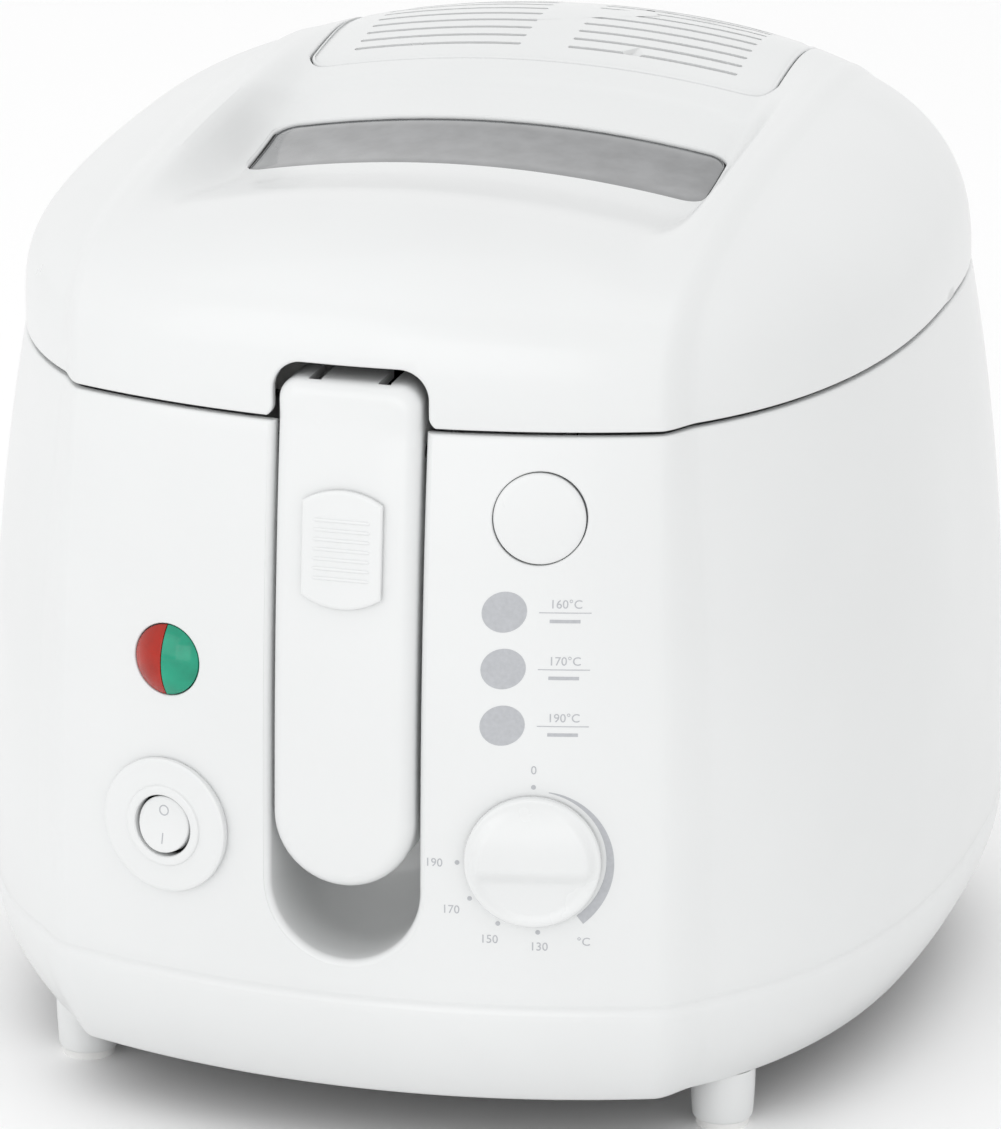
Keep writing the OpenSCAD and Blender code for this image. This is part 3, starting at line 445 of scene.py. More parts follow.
class Finish:
    """One material, built node by node."""

    def __init__(self, name, **fixed):
        self.material = bpy.data.materials.new(name)
        self.material.use_nodes = True
        self.tree = self.material.node_tree
        self.shader = self.tree.nodes["Principled BSDF"]
        for socket, value in fixed.items():
            self.shader.inputs[socket.replace("_", " ")].default_value = value
        self.place = self.node("ShaderNodeTexCoord", out="Object")

    def node(self, kind, settings=(), inputs=(), out=0):
        made = self.tree.nodes.new(kind)
        for key, value in dict(settings).items():
            setattr(made, key, value)
        for key, value in dict(inputs).items():
            self.feed(made.inputs[key], value)
        return Wire(self, made.outputs[out])

    def feed(self, socket, value):
        if isinstance(value, Wire):
            self.tree.links.new(value.socket, socket)
        else:
            socket.default_value = value

    def maths(self, operation, a, b):
        return self.node("ShaderNodeMath", {"operation": operation}, {0: a, 1: b})

    def stretched(self, scale, turn=(0, 0, 0)):
        sockets = {"Vector": self.place, "Scale": scale, "Rotation": turn}
        return self.node("ShaderNodeMapping", (), sockets)

    def noise(self, scale, detail=2.0, vector=None, out="Fac"):
        return self.node(
            "ShaderNodeTexNoise", (),
            {"Vector": vector or self.place, "Scale": scale, "Detail": detail}, out,
        )

    def ramp(self, value, low, high):
        sockets = {"Value": value, "From Min": low, "From Max": high}
        return self.node("ShaderNodeMapRange", (), sockets)

    def blend(self, factor, one, two):
        """A mix of two colours; 6 and 7 are the node's colour inputs, and 2 its colour output."""
        sockets = {0: factor, 6: (*one, 1), 7: (*two, 1)}
        return self.node("ShaderNodeMix", {"data_type": "RGBA"}, sockets, 2)

    def colour(self, value):
        self.feed(self.shader.inputs["Base Color"], value)

    def rough(self, value):
        self.feed(self.shader.inputs["Roughness"], value)

    def bump(self, height, strength, distance):
        made = self.node(
            "ShaderNodeBump", (), {"Height": height, "Strength": strength, "Distance": distance}
        )
        self.feed(self.shader.inputs["Normal"], made)


def scaled(colour, k):
    return tuple(min(1.0, c * k) for c in colour)


def moulded(name, colour, rough, grain=0.02, scale=1400.0, coat=0.0, spread=0.03):
    """Injection-moulded plastic: faint clouding, a fine skin grain and uneven gloss."""
    f = Finish(name, Coat_Weight=coat, Coat_Roughness=0.12, IOR=1.49)
    cloud = f.noise(9.0, 3.0)
    dark, pale = scaled(colour, 1 - spread), scaled(colour, 1 + spread / 2)
    f.colour(f.blend(f.ramp(cloud, 0.3, 0.7), dark, pale))
    f.rough(f.noise(45.0, 4.0) * 0.10 + (rough - 0.05))
    f.bump(f.noise(scale, 2.0), grain, 0.0002)
    return f.material


def brushed(name, colour, rough, along=(1, 40, 40)):
    """Drawn or brushed metal with fine lines and faint stains."""
    f = Finish(name, Metallic=1.0)
    lines = f.noise(60.0, 4.0, f.stretched(along))
    stain = f.noise(25.0, 3.0)
    f.colour(f.blend(f.ramp(stain, 0.25, 0.75), scaled(colour, 0.88), colour))
    f.rough(lines * 0.16 + stain * 0.08 + (rough - 0.1))
    f.bump(lines, 0.12, 0.0001)
    return f.material


def polished(name, colour, rough):
    """Bright plated wire with faint smudges."""
    f = Finish(name, Metallic=1.0)
    smudge = f.noise(60.0, 5.0)
    f.colour(f.blend(smudge, scaled(colour, 0.9), colour))
    f.rough(smudge * 0.12 + rough)
    f.bump(f.noise(500.0, 2.0), 0.03, 0.0001)
    return f.material


def coated(name, colour):
    """Dark non-stick coating with a fine fleck."""
    f = Finish(name, Coat_Weight=0.25, Coat_Roughness=0.25)
    fleck = f.node("ShaderNodeTexVoronoi", (), {"Vector": f.place, "Scale": 900.0}, "Distance")
    dots = f.ramp(fleck, 0.16, 0.10)
    f.colour(f.blend(dots, colour, scaled(colour, 2.6)))
    f.rough(f.noise(40.0, 4.0) * 0.14 + 0.34)
    f.bump(f.noise(1200.0, 2.0), 0.08, 0.0002)
    return f.material


def soft_rubber(name, colour, rough=0.62):
    f = Finish(name, Specular_IOR_Level=0.35)
    dust = f.noise(80.0, 5.0)
    f.colour(f.blend(f.ramp(dust, 0.35, 0.8), colour, scaled(colour, 1.35)))
    f.rough(f.noise(120.0, 3.0) * 0.15 + rough)
    f.bump(f.noise(1600.0, 3.0), 0.15, 0.0002)
    return f.material


def tinted(name, colour, rough=0.05, coat=1.0, shine=0.5):
    """Tinted plastic or glass with a wet gloss."""
    f = Finish(name, Coat_Weight=coat, Coat_Roughness=0.03, IOR=1.5, Specular_IOR_Level=shine)
    depth = f.noise(140.0, 2.0)
    f.colour(f.blend(f.ramp(depth, 0.3, 0.7), scaled(colour, 0.82), scaled(colour, 1.12)))
    f.rough(f.noise(90.0, 3.0) * 0.04 + rough)
    return f.material


def fibre(name, colour):
    """Needled filter felt."""
    f = Finish(name, Specular_IOR_Level=0.2, Sheen_Weight=0.4)
    hair = f.noise(420.0, 6.0, f.stretched((1, 3, 1), (0, 0, 0.5)))
    f.colour(f.blend(f.ramp(hair, 0.3, 0.7), scaled(colour, 0.8), colour))
    f.rough(hair * 0.1 + 0.85)
    f.bump(hair, 0.7, 0.0008)
    return f.material


def foam(name, colour):
    """Open-cell carbon foam."""
    f = Finish(name, Specular_IOR_Level=0.2)
    cell = f.node("ShaderNodeTexVoronoi", (), {"Vector": f.place, "Scale": 700.0}, "Distance")
    f.colour(f.blend(f.ramp(cell, 0.0, 0.6), scaled(colour, 0.3), scaled(colour, 1.8)))
    f.rough(cell * 0.1 + 0.85)
    f.bump(cell, 0.8, 0.001)
    return f.material


def ink(name, colour):
    f = Finish(name, IOR=1.45)
    wear = f.noise(900.0, 4.0)
    f.colour(f.blend(f.ramp(wear, 0.3, 0.75), colour, scaled(colour, 1.12)))
    f.rough(f.noise(300.0, 2.0) * 0.1 + 0.4)
    return f.material


FINISHES = {}


# ---- Geometry Nodes ----


class Grower:
    """One Geometry Nodes tree with named inputs that ends in Realize Instances and Set Material."""

    def __init__(self, name, **inputs):
        self.tree = bpy.data.node_groups.new(name, "GeometryNodeTree")
        face = self.tree.interface
        face.new_socket("Geometry", in_out="INPUT", socket_type="NodeSocketGeometry")
        kinds = {float: "NodeSocketFloat", int: "NodeSocketInt", Vector: "NodeSocketVector"}
        for key, value in inputs.items():
            made = face.new_socket(key, in_out="INPUT", socket_type=kinds[type(value)])
            made.default_value = value
        face.new_socket("Geometry", in_out="OUTPUT", socket_type="NodeSocketGeometry")
        self.given = self.tree.nodes.new("NodeGroupInput")
        self.values = inputs

    def node(self, kind, settings=(), **inputs):
        made = self.tree.nodes.new(kind)
        for key, value in dict(settings).items():
            setattr(made, key, value)
        for key, value in inputs.items():
            self.feed(made.inputs[key.replace("_", " ")], value)
        return made

    def feed(self, socket, value):
        if isinstance(value, str):
            value = self.given.outputs[value]
        if isinstance(value, bpy.types.NodeSocket):
            self.tree.links.new(value, socket)
        else:
            socket.default_value = value

    def maths(self, operation, one, two):
        made = self.node("ShaderNodeMath", {"operation": operation})
        self.feed(made.inputs[0], one)
        self.feed(made.inputs[1], two)
        return made.outputs[0]

    def copies(self, shape, points):
        """Instances of an object's mesh, one on each point."""
        info = self.node("GeometryNodeObjectInfo", {"transform_space": "ORIGINAL"}, Object=shape)
        mesh = info.outputs["Geometry"]
        put = self.node("GeometryNodeInstanceOnPoints", (), Points=points, Instance=mesh)
        return put.outputs[0]

    def grow(self, name, geometry, finish, source=None):
        """Ends the tree, runs it on the source mesh and returns the result as a plain piece."""
        real = self.node("GeometryNodeRealizeInstances", (), Geometry=geometry)
        painted = self.node(
            "GeometryNodeSetMaterial", (), Geometry=real.outputs[0], Material=FINISHES[finish]
        )
        out = self.tree.nodes.new("NodeGroupOutput")
        self.tree.links.new(painted.outputs[0], out.inputs[0])
        ob = add_object(name, source or bpy.data.meshes.new(name))
        step = ob.modifiers.new("grow", "NODES")
        step.node_group = self.tree
        for item in self.tree.interface.items_tree:
            if item.in_out == "INPUT" and item.name in self.values:
                step[item.identifier] = self.values[item.name]
        apply_all(ob)
        if not ob.data.polygons:
            raise RuntimeError(f"{name} came out empty")
        return ob


def wires(name, paths, radius, finish, sides=8, closed=()):
    """Round wire along paths of drafting points; closed holds the numbers of the closed ones."""
    mesh = bpy.data.meshes.new(name)
    points, edges = [], []
    for k, path in enumerate(paths):
        first = len(points)
        points += [at(*p) for p in path]
        edges += [(first + i, first + i + 1) for i in range(len(path) - 1)]
        if k in closed:
            edges.append((len(points) - 1, first))
    mesh.from_pydata(points, edges, [])
    g = Grower(name + "_wire", Radius=float(radius * 0.001), Sides=int(sides))
    path = g.node("GeometryNodeMeshToCurve", (), Mesh="Geometry")
    ring = g.node(
        "GeometryNodeCurvePrimitiveCircle", {"mode": "RADIUS"}, Radius="Radius", Resolution="Sides"
    )
    tube = g.node(
        "GeometryNodeCurveToMesh", (),
        Curve=path.outputs[0], Profile_Curve=ring.outputs[0], Fill_Caps=True,
    )
    return g.grow(name, tube.outputs[0], finish, mesh)


def row_of(name, shape, start, step, count, finish):
    """Equal copies of one small mesh in a straight row, all in metres."""
    g = Grower(name + "_row", Count=int(count), Start=Vector(start), Step=Vector(step))
    places = g.node(
        "GeometryNodeMeshLine", {"mode": "OFFSET"},
        Count="Count", Start_Location="Start", Offset="Step",
    )
    return g.grow(name, g.copies(shape, places.outputs[0]), finish)


class Shape:
    """Points and faces gathered from several closed shapes for one piece."""

    def __init__(self):
        self.points, self.faces = [], []

    def add(self, points, faces):
        first = len(self.points)
        self.points += [Vector(p) for p in points]
        self.faces += [tuple(first + i for i in f) for f in faces]
        return self

    def made(self, name):
        return solid(name, self.points, self.faces)


# ---- Outlines and cutters ----


def offset(outline, gap):
    """A closed anticlockwise outline moved outward by gap."""
    moved = []
    for i, (x, y) in enumerate(outline):
        (ax, ay), (bx, by) = outline[i - 1], outline[(i + 1) % len(outline)]
        size = math.hypot(bx - ax, by - ay) or 1.0
        moved.append((x + gap * (by - ay) / size, y - gap * (bx - ax) / size))
    return moved


def flared_rows(edge, reach, steps=5):
    """Offset and outward distance of a hole's rows, from outside through the rounded edge."""
    angles = [math.radians(10 + 80 * i / steps) for i in range(steps + 1)]
    rows = [(edge * (1 - math.sin(a)), -edge * (1 - math.cos(a))) for a in angles]
    return [(rows[0][0], reach)] + rows


def recess_outline(gap=0.0):
    """The grip recess as width and height pairs."""
    r = RECESS_X + gap
    top = SEAM_Z + 40
    points = arc(0, RECESS_Z, r, 180, 360, 48)
    points += line((r, RECESS_Z), (r, top), 60) + [(r, top)]
    points += line((r, top), (-r, top), 6) + [(-r, top)]
    points += line((-r, top), (-r, RECESS_Z), 60)
    return points


def recess_cutter(edge, bowl):
    """The grip recess with a rounded rim and a bowl that runs out at its back."""
    rings = []
    for gap, out in flared_rows(edge, 9.0):
        rings.append([(x, panel_face(x, min(z, RIM_Z)) - out, z) for x, z in recess_outline(gap)])
    plain = recess_outline()

    def down(z):
        return max(0.0, (RECESS_Z - z) / RECESS_X)

    for share in (0.25, 0.5, 0.75, 1.0):
        rings.append([
            (x, (1 - share) * (panel_face(x, min(z, RIM_Z)) + edge)
             + share * (RECESS_Y - bowl[0] - bowl[1] * down(z)), z)
            for x, z in plain
        ])
    for k in range(1, 11):
        a = math.pi / 2 * k / 10
        ring = []
        for (x, z), (nx, nz) in zip(plain, offset(plain, -1.0)):
            w = down(z)
            inward = (6 + 8 * w) * (1 - math.cos(a))
            depth = RECESS_Y - (bowl[0] + bowl[1] * w) * (1 - math.sin(a))
            ring.append((x + (nx - x) * inward, depth, z + (nz - z) * inward))
        rings.append(ring)
    points, faces = loft(rings)
    return solid("recess_cutter", points, faces)


def block(name, low, high):
    """A plain rectangular cutter."""
    (x0, y0, z0), (x1, y1, z1) = low, high
    rings = [[(x0, y0, z), (x1, y0, z), (x1, y1, z), (x0, y1, z)] for z in (z0, z1)]
    return solid(name, *loft(rings))


def round_hole(name, place, r, edge, depth=14.0):
    """A round cutter through the front panel with a rounded edge."""
    profile = [(r + gap, out) for gap, out in flared_rows(edge, 8.0, 4)] + [(r, -depth)]
    return solid(name, *loft(round_rings(profile, place)))


def plan_cutter(name, box, edge, low=196.0):
    """A rounded rectangular cutter through the lid with a rounded edge."""
    rings = []
    for gap, out in flared_rows(edge, 12.0):
        rings.append([(x, y, lid_top(x, y) + out) for x, y in rounded_plan(box, gap)])
    rings.append([(x, y, low) for x, y in rounded_plan(box)])
    return solid(name, *loft(rings))


def grown(box, gap):
    x0, y0, x1, y1, r = box
    return (x0 - gap, y0 - gap, x1 + gap, y1 + gap, r + gap)


def draped(box, drop, thick, edge):
    """A skin piece under a rounded plan, drop below the lid's face, with a rounded top edge."""
    half = min(box[2] - box[0], box[3] - box[1]) / 2
    insets = [edge * (1 - math.sin(a)) for a in (math.pi / 2 * i / 4 for i in range(5))][::-1]
    drops = [edge * (1 - math.cos(a)) for a in (math.pi / 2 * i / 4 for i in range(5))][::-1]
    rings = []
    steps = [0.15, 0.3, 0.5, 0.7, 0.88, 0.985]

    def shrunk(inset):
        x0, y0, x1, y1, r = box
        r = max(0.3, r - inset)
        return rounded_plan((x0 + inset, y0 + inset, x1 - inset, y1 - inset, r))

    for k in reversed(steps):
        rings.append([(x, y, lid_top(x, y) - drop - thick) for x, y in shrunk(half * k)])
    rings.append([(x, y, lid_top(x, y) - drop - thick) for x, y in shrunk(0)])
    for fall, inset in zip(insets, drops):
        rings.append([(x, y, lid_top(x, y) - drop - fall) for x, y in shrunk(inset)])
    for k in steps:
        rings.append([(x, y, lid_top(x, y) - drop) for x, y in shrunk(max(edge, half * k))])
    points, faces = loft(rings, caps=False)
    count, middle = len(rings[0]), 20
    return points, faces + zipped(0, count, middle) + zipped(len(points) - count, count, middle)


# ---- Housing ----


def housing_rows(sizes):
    """Height and inset of the outside rows from the base up to the rim."""
    low, high = 1.2, mm(sizes.rim_edge)
    rows = [(BASE_Z + low * (1 - math.sin(a)), low * (1 - math.cos(a)))
            for a in (math.pi / 2 * (1 - i / 4) for i in range(5))]
    crease = mm(sizes.skirt_crease)
    rows += [(BASE_Z + low + (45.2 - BASE_Z - low) * i / 14, 0.0) for i in range(1, 15)]
    rows += [(45.9, 0.35 * crease), (46.4, 0.85 * crease), (47.0, crease), (47.6, 0.85 * crease),
             (48.1, 0.35 * crease), (48.8, 0.0)]
    rows += [(48.8 + (RIM_Z - high - 48.8) * i / 44, 0.0) for i in range(1, 45)]
    rows += [(RIM_Z - high + high * math.sin(a), high * (1 - math.cos(a)))
             for a in (math.pi / 2 * i / 4 for i in range(1, 5))]
    return rows


def through_back(u, v, h):
    """A place round the cord inlet's axis, h from the widest line."""
    return Vector((GLAND_X + u, h, GLAND_Z + v))


def make_housing(sizes):
    xs = stations()
    front, back = edges_at(xs)
    outline = front + back[-2:0:-1]
    rows = housing_rows(sizes)
    inner = [(RIM_Z - (RIM_Z - BASE_Z) * i / 20, WALL) for i in range(21)]
    rings = []
    for z, inset in rows + inner:
        rings.append([
            (p.x + (swell(z, out) - inset) * out.x, p.y + (swell(z, out) - inset) * out.y, z)
            for p, out in outline
        ])
    shell = solid("housing_skin", *loft(rings, closed=True))
    back_y = RECESS_Y + WALL
    grown_plan = recess_outline(WALL)
    high = RIM_Z - 0.3
    lining = solid("lining", *loft([
        [(x, panel_face(x, min(z, high)) + 1.0, min(z, high)) for x, z in grown_plan],
        [(x, back_y, min(z, high)) for x, z in grown_plan],
    ]))
    carve(shell, lining, operation="UNION")
    tools = [recess_cutter(mm(sizes.recess_edge), (9.0, 12.0))]
    for side in (-1, 1):
        x0, x1 = sorted((side * 19.0, side * 30.0))
        tools.append(block("pocket", (x0, -156.4, 186.5), (x1, -133.0, 230.0)))
    tools.append(block("arm_pass", (-13.5, -131.0, 199.7), (13.5, -120.0, 230.0)))
    tools.append(round_hole("spindle_hole", over_panel(CONTROL_X, DIAL_Z), 4.0, 0.3))
    tools.append(round_hole("rocker_hole", over_panel(-CONTROL_X, DIAL_Z), 10.0, 0.3))
    tools.append(round_hole("lens_hole", over_panel(-CONTROL_X, LAMP_Z), 9.9, 0.4))
    tools.append(round_hole("button_hole", over_panel(CONTROL_X, BUTTON_Z), 12.55, 0.5))
    bore = round_rings(((6.2, GLAND_Y + 9), (6.0, GLAND_Y - 12)), through_back, 64)
    tools.append(solid("inlet_hole", *loft(bore)))
    carve(shell, *tools)
    return dress(shell, "white", "housing", ("body_shell", "grip_well"))


def make_gland():
    """The cord's inlet: a bored barrel with thread grooves, and a flange outside the wall."""
    bore, core, barrel, flange = 3.5, 5.1, 5.5, 8.5
    inner, face, end = GLAND_Y - 12, GLAND_Y + 1.4, HINGE_Y + 4.6
    profile = [(bore, inner), (barrel - 0.3, inner), (barrel, inner + 0.4)]
    for k in range(4):
        y = inner + 1.5 + 2.2 * k
        profile += [(barrel, y), (core, y + 0.3), (core, y + 0.9), (barrel, y + 1.2)]
    profile += [(barrel, face), (flange - 0.4, face), (flange, face + 0.3), (flange, end - 0.6)]
    profile += [(flange - 0.4, end - 0.1), (flange - 0.9, end), (bore + 0.8, end)]
    profile += [(bore + 0.2, end - 0.3), (bore, end - 0.8)]
    ob = solid("cord_gland_body", *turned(profile, through_back, 72))
    return dress(ob, "dark", "housing", ("cord_gland",))


def make_feet():
    """Four tapered posts with rounded toes, standing on the rubber pads."""
    shape, pad = Shape(), 2.0
    profile = [(0, BASE_Z), (9.0, BASE_Z), (8.9, 12), (8.6, 6.0), (8.45, 4.0)]
    profile += [(7.4 + math.cos(a), pad + 1.2 * (1 - math.sin(a))) for a in (0.3, 0.7, 1.1, 1.57)]
    profile += [(0, pad)]
    for side in (-1, 1):
        for fx, fy in ((92, -116), (88, 84)):
            shape.add(*lathe(profile, lambda u, v, h: Vector((side * fx + u, fy + v, h)), 64))
    return dress(shape.made("foot_posts"), "white", "housing", ("feet",))


def coil(centre, axis, across, r, length, turns, per_turn=28):
    """A coil's path with flattened ends."""
    third = axis.cross(across)
    path = []
    for i in range(int(turns * per_turn) + 1):
        t = i / (turns * per_turn)
        a = 2 * math.pi * i / per_turn
        along = 0.04 * t + 0.96 * min(1.0, max(0.0, (t - 0.12) / 0.76))
        round_axis = across * (r * math.cos(a)) + third * (r * math.sin(a))
        path.append(centre + round_axis + axis * (length * along))
    return path


def make_springs():
    """The button's spring and the spring on the hinge pin."""
    origin, right, _, out = panel_frame(CONTROL_X, BUTTON_Z)
    seat, length, travel, wire = -9.75, 4.7, 4.0, 0.5
    path = coil(origin + out * (seat + wire), out, right, 4.6, length - 2 * wire, 4.0)
    spring = wires("button_coil", [path], wire, "steel")
    dress(spring, "steel", "housing", ("button_spring",), 60)
    anchor = at(*(origin + out * seat))
    tuple(out)
    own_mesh(spring)
    half, wire = 17.0, 0.85
    start = Vector((-half, HINGE_Y, HINGE_Z))
    path = coil(start, Vector((1, 0, 0)), Vector((0, 1, 0)), 3.45, 2 * half, 13.0)
    spring = wires("lid_coil", [path], wire, "steel")
    return dress(spring, "steel", "housing", ("lid_spring",), 60)


# ---- Lid ----


def lid_rows(front, edge, rise, long_steps):
    """Share of the way out and height share of one half's rows, from the rim up to the spine."""
    power, fall = (4.3, 2.0) if front else (2.4, 2.2)
    edge = min(edge, rise / 4)
    rows = []
    for i in range(5):
        a = math.pi / 2 * i / 4
        f = edge * (1 - math.cos(a)) / rise if rise > 0 else 0
        rows.append((f, edge * (1 - math.sin(a))))
    start = edge / rise if rise > 0 else 0
    rows += [(start + (0.8 - start) * (i / 14) ** 0.8, 0.0) for i in range(1, 15)]
    out = [((1 - f ** power) ** (1 / fall), f, inset) for f, inset in rows]
    last = out[-1][0]
    for i in range(1, long_steps + 1):
        u = last * (1 - i / long_steps)
        out.append((u, (1 - u ** fall) ** (1 / power), 0.0))
    return out


def make_lid(sizes):
    xs = stations(flat=50, step=8, side=44)
    front, back = edges_at(xs)
    edge = mm(sizes.rim_edge)
    rings = []
    for x, (fp, fo), (bp, bo) in zip(xs, front, back):
        ring = []
        for t in (0.0, WALL):
            rise = max(0.0, lid_rise(x) - t)
            spine = Vector((x * (HALF_W - t) / HALF_W, lid_spine(x)))
            half = []
            for ahead, rim, out in ((True, fp, fo), (False, bp, bo)):
                foot = rim - t * out
                side = []
                rows = lid_rows(ahead, edge if t == 0 else 0.0, rise, 60 if ahead else 20)
                for u, f, inset in rows:
                    p = spine + (foot - spine) * u - out * inset
                    drop = lid_relief(p.x, p.y) if t == 0 and rise > 4 else 0.0
                    side.append((p.x, p.y, LID_Z + rise * f - lid_scoop(p.x, p.y) - drop))
                half.append(side)
            ring.append(half[0] + half[1][-2::-1])
        rings.append(ring[0] + ring[1][::-1])
    shell = solid("lid_skin", *loft(rings, caps=False), merge=1e-6)
    tools = [
        plan_cutter("window_hole", WINDOW, 0.7),
        plan_cutter("cover_hole", grown(COVER, 0.6), 0.6),
        notch_cutter(0.9),
    ]
    for side in (-1, 1):
        x0, x1 = sorted((side * 34 - 5.4, side * 34 + 5.4))
        tools.append(block("strap_hole", (x0, 118.0, LID_Z + 2.7), (x1, 150.0, LID_Z + 8.3)))
    carve(shell, *tools)
    return dress(shell, "white", "lid", ("lid_shell",))


def notch_outline(gap):
    """The lid's notch over the grip, with rounded upper corners and a flared foot."""
    half, top, r, foot = 21.3 + gap, 221.0 + gap, 8.0, 3.5
    low = LID_Z - 12
    points = [(half + foot + 4, low), (half + foot + 4, LID_Z - 0.4 + gap)]
    points += arc(half + foot, LID_Z - 0.4 + foot, foot, 270, 180, 8)
    points += line((half, LID_Z + foot), (half, top - r), 6)
    points += arc(half - r, top - r, r, 0, 90, 12)
    points += line((half - r, top), (r - half, top), 12)
    points += arc(r - half, top - r, r, 90, 180, 12)
    points += line((-half, top - r), (-half, LID_Z + foot), 6)
    points += arc(-half - foot, LID_Z - 0.4 + foot, foot, 360, 270, 8)
    points += [(-half - foot - 4, LID_Z - 0.4 + gap), (-half - foot - 4, low)]
    return points


def notch_cutter(edge):
    """The notch from well ahead of the lid, through its rounded edge, to the recess's back."""
    rows = flared_rows(edge, 0.0)
    rings = [[(x, -205.0, z) for x, z in notch_outline(rows[0][0])]]
    for gap, out in rows[1:]:
        rings.append([(x, lid_front(x, z) - out, z) for x, z in notch_outline(gap)])
    rings.append([(x, RECESS_Y - 1.0, z) for x, z in notch_outline(0.0)])
    return solid("notch", *loft(rings))


def make_window(sizes):
    pane = solid("window_glass_pane", *draped(grown(WINDOW, -0.5), mm(sizes.pane_drop), 1.9, 0.35))
    return dress(pane, "smoke", "lid", ("window_pane",))


def make_cover(sizes):
    cover = solid("filter_lid_skin", *draped(COVER, 0.0, WALL, 0.8))
    half_w, centre = 0.8, 24.2
    outline = arc(centre, 0, half_w, -90, 90, 8) + arc(-centre, 0, half_w, 90, 270, 8)
    rings = [[(x, y, z) for x, y in outline] for z in (0, 90)]
    slot = solid("slot", *loft(rings))
    slot.data.transform(Matrix.Translation((0, -SHIFT * 0.001, 0)))
    g = Grower("slots", Columns=2, Rows=9, Width=0.064, Pitch=sizes.slot_pitch)
    span = g.maths("MULTIPLY", g.maths("SUBTRACT", "Rows", 1.0), "Pitch")
    grid = g.node(
        "GeometryNodeMeshGrid", (),
        Size_X="Width", Size_Y=span, Vertices_X="Columns", Vertices_Y="Rows",
    )
    slots = g.copies(slot, grid.outputs[0])
    middle = at(0, COVER[1] + 33.8, 200)
    moved = g.node("GeometryNodeTransform", (), Geometry=slots, Translation=middle)
    cutter = g.grow("slot_cutter", moved.outputs[0], "white")
    bpy.data.objects.remove(slot)
    carve(cover, cutter)
    return dress(cover, "white", "filter_lid", ("filter_cover",))


# ---- Grip ----


def grip_outline(inset):
    r = GRIP_HALF - inset
    corner = min(r, max(0.25, 6.0 - inset / 2))
    foot, top = GRIP_Z0 + GRIP_HALF, GRIP_Z1 - inset
    points = arc(0, foot, r, 180, 360, 40)
    points += line((r, foot), (r, top - corner), 48)
    points += arc(r - corner, top - corner, corner, 0, 90, 10)
    points += line((r - corner, top), (corner - r, top), 12)
    points += arc(corner - r, top - corner, corner, 90, 180, 10)
    points += line((-r, top - corner), (-r, foot), 48)
    return points


def round_pivot(u, v, h):
    """A place round the grip's pivot axis, h to the right."""
    return Vector((h, PIVOT_Y + u, PIVOT_Z + v))


def make_grip(sizes):
    """The hollow grip: a crowned front, straight walls, and a rim that turns in behind."""
    edge, crown = mm(sizes.grip_edge), 0.6

    def front(inset):
        fall = edge - math.sqrt(max(0.0, edge ** 2 - max(0.0, edge - inset) ** 2))
        return fall + crown * (1 - smooth(inset / 13))

    def ring(inset, depth):
        out = grip_outline(inset)
        return [(x, panel_face(0, min(z, SEAM_Z)) - GRIP_PROUD + depth, z) for x, z in out]

    insets = [18.6, 16, 13, 10.5, 8.5, 6.5, 5.0, 4.0, 3.2, 2.5, 1.8, 1.2, 0.7, 0.3, 0.08, 0.0]
    rings = [ring(i, front(i)) for i in insets]
    rings += [ring(0, d) for d in (6.5, 9, 12, 15, GRIP_D - 0.7)]
    rings += [ring(0.2, GRIP_D - 0.2), ring(0.7, GRIP_D), ring(2.1, GRIP_D)]
    rings += [ring(2.5, GRIP_D - 0.2), ring(WALL, GRIP_D - 0.7)]
    rings += [ring(WALL, d) for d in (14, 10, 7)] + [ring(3.2, 5.2), ring(5.0, 3.6)]
    rings += [ring(i, WALL + 0.1) for i in (8, 12, 16, 18.6)]
    points, faces = loft(rings, caps=False)
    count, middle = len(rings[0]), 20
    faces += zipped(0, count, middle) + zipped(len(points) - count, count, middle)
    shell = solid("grip_skin", points, faces)
    tools = []
    for side in (-1, 1):
        x0, x1 = side * 9.5 - 1.7, side * 9.5 + 1.7
        tools.append(block("arm_slot", (x0, PIVOT_Y - 6.5, 211.4), (x1, PIVOT_Y + 40, 222.0)))
    r = PIVOT_R + 0.1
    tools.append(solid("pin_bore", *loft(round_rings(((r, -25), (r, 25)), round_pivot, 48))))
    place = on_grip(SLIDER_Z)
    neck = [
        [place(u, v, w) for u, v in ((-4, -11), (4, -11), (4, 4.6), (-4, 4.6))] for w in (-6, 3)
    ]
    tools.append(solid("neck_slot", *loft(neck)))
    carve(shell, *tools)
    return dress(shell, "white", "grip", ("grip_shell",))


def make_grip_pin():
    end = [(0, 19.0), (PIVOT_R - 0.8, 19.0), (PIVOT_R - 0.2, 18.7), (PIVOT_R, 18.2)]
    profile = [(r, -h) for r, h in end] + end[::-1]
    pin = solid("grip_pivot", *lathe(profile, round_pivot, 48))
    return dress(pin, "chrome", "basket", ("grip_pin",))


def slider_outline():
    """A barrel: straight sides, with a shallow arc above and below."""
    r, half_w, half_h = 20.0, SLIDER_W / 2, SLIDER_H / 2
    a = math.degrees(math.asin(half_w / r))
    cap = arc(0, half_h - r, r, 90 - a, 90 + a, 24)
    foot = arc(0, r - half_h, r, 270 - a, 270 + a, 24)
    return foot + line(foot[-1], cap[0], 14) + cap + line(cap[-1], foot[0], 14)


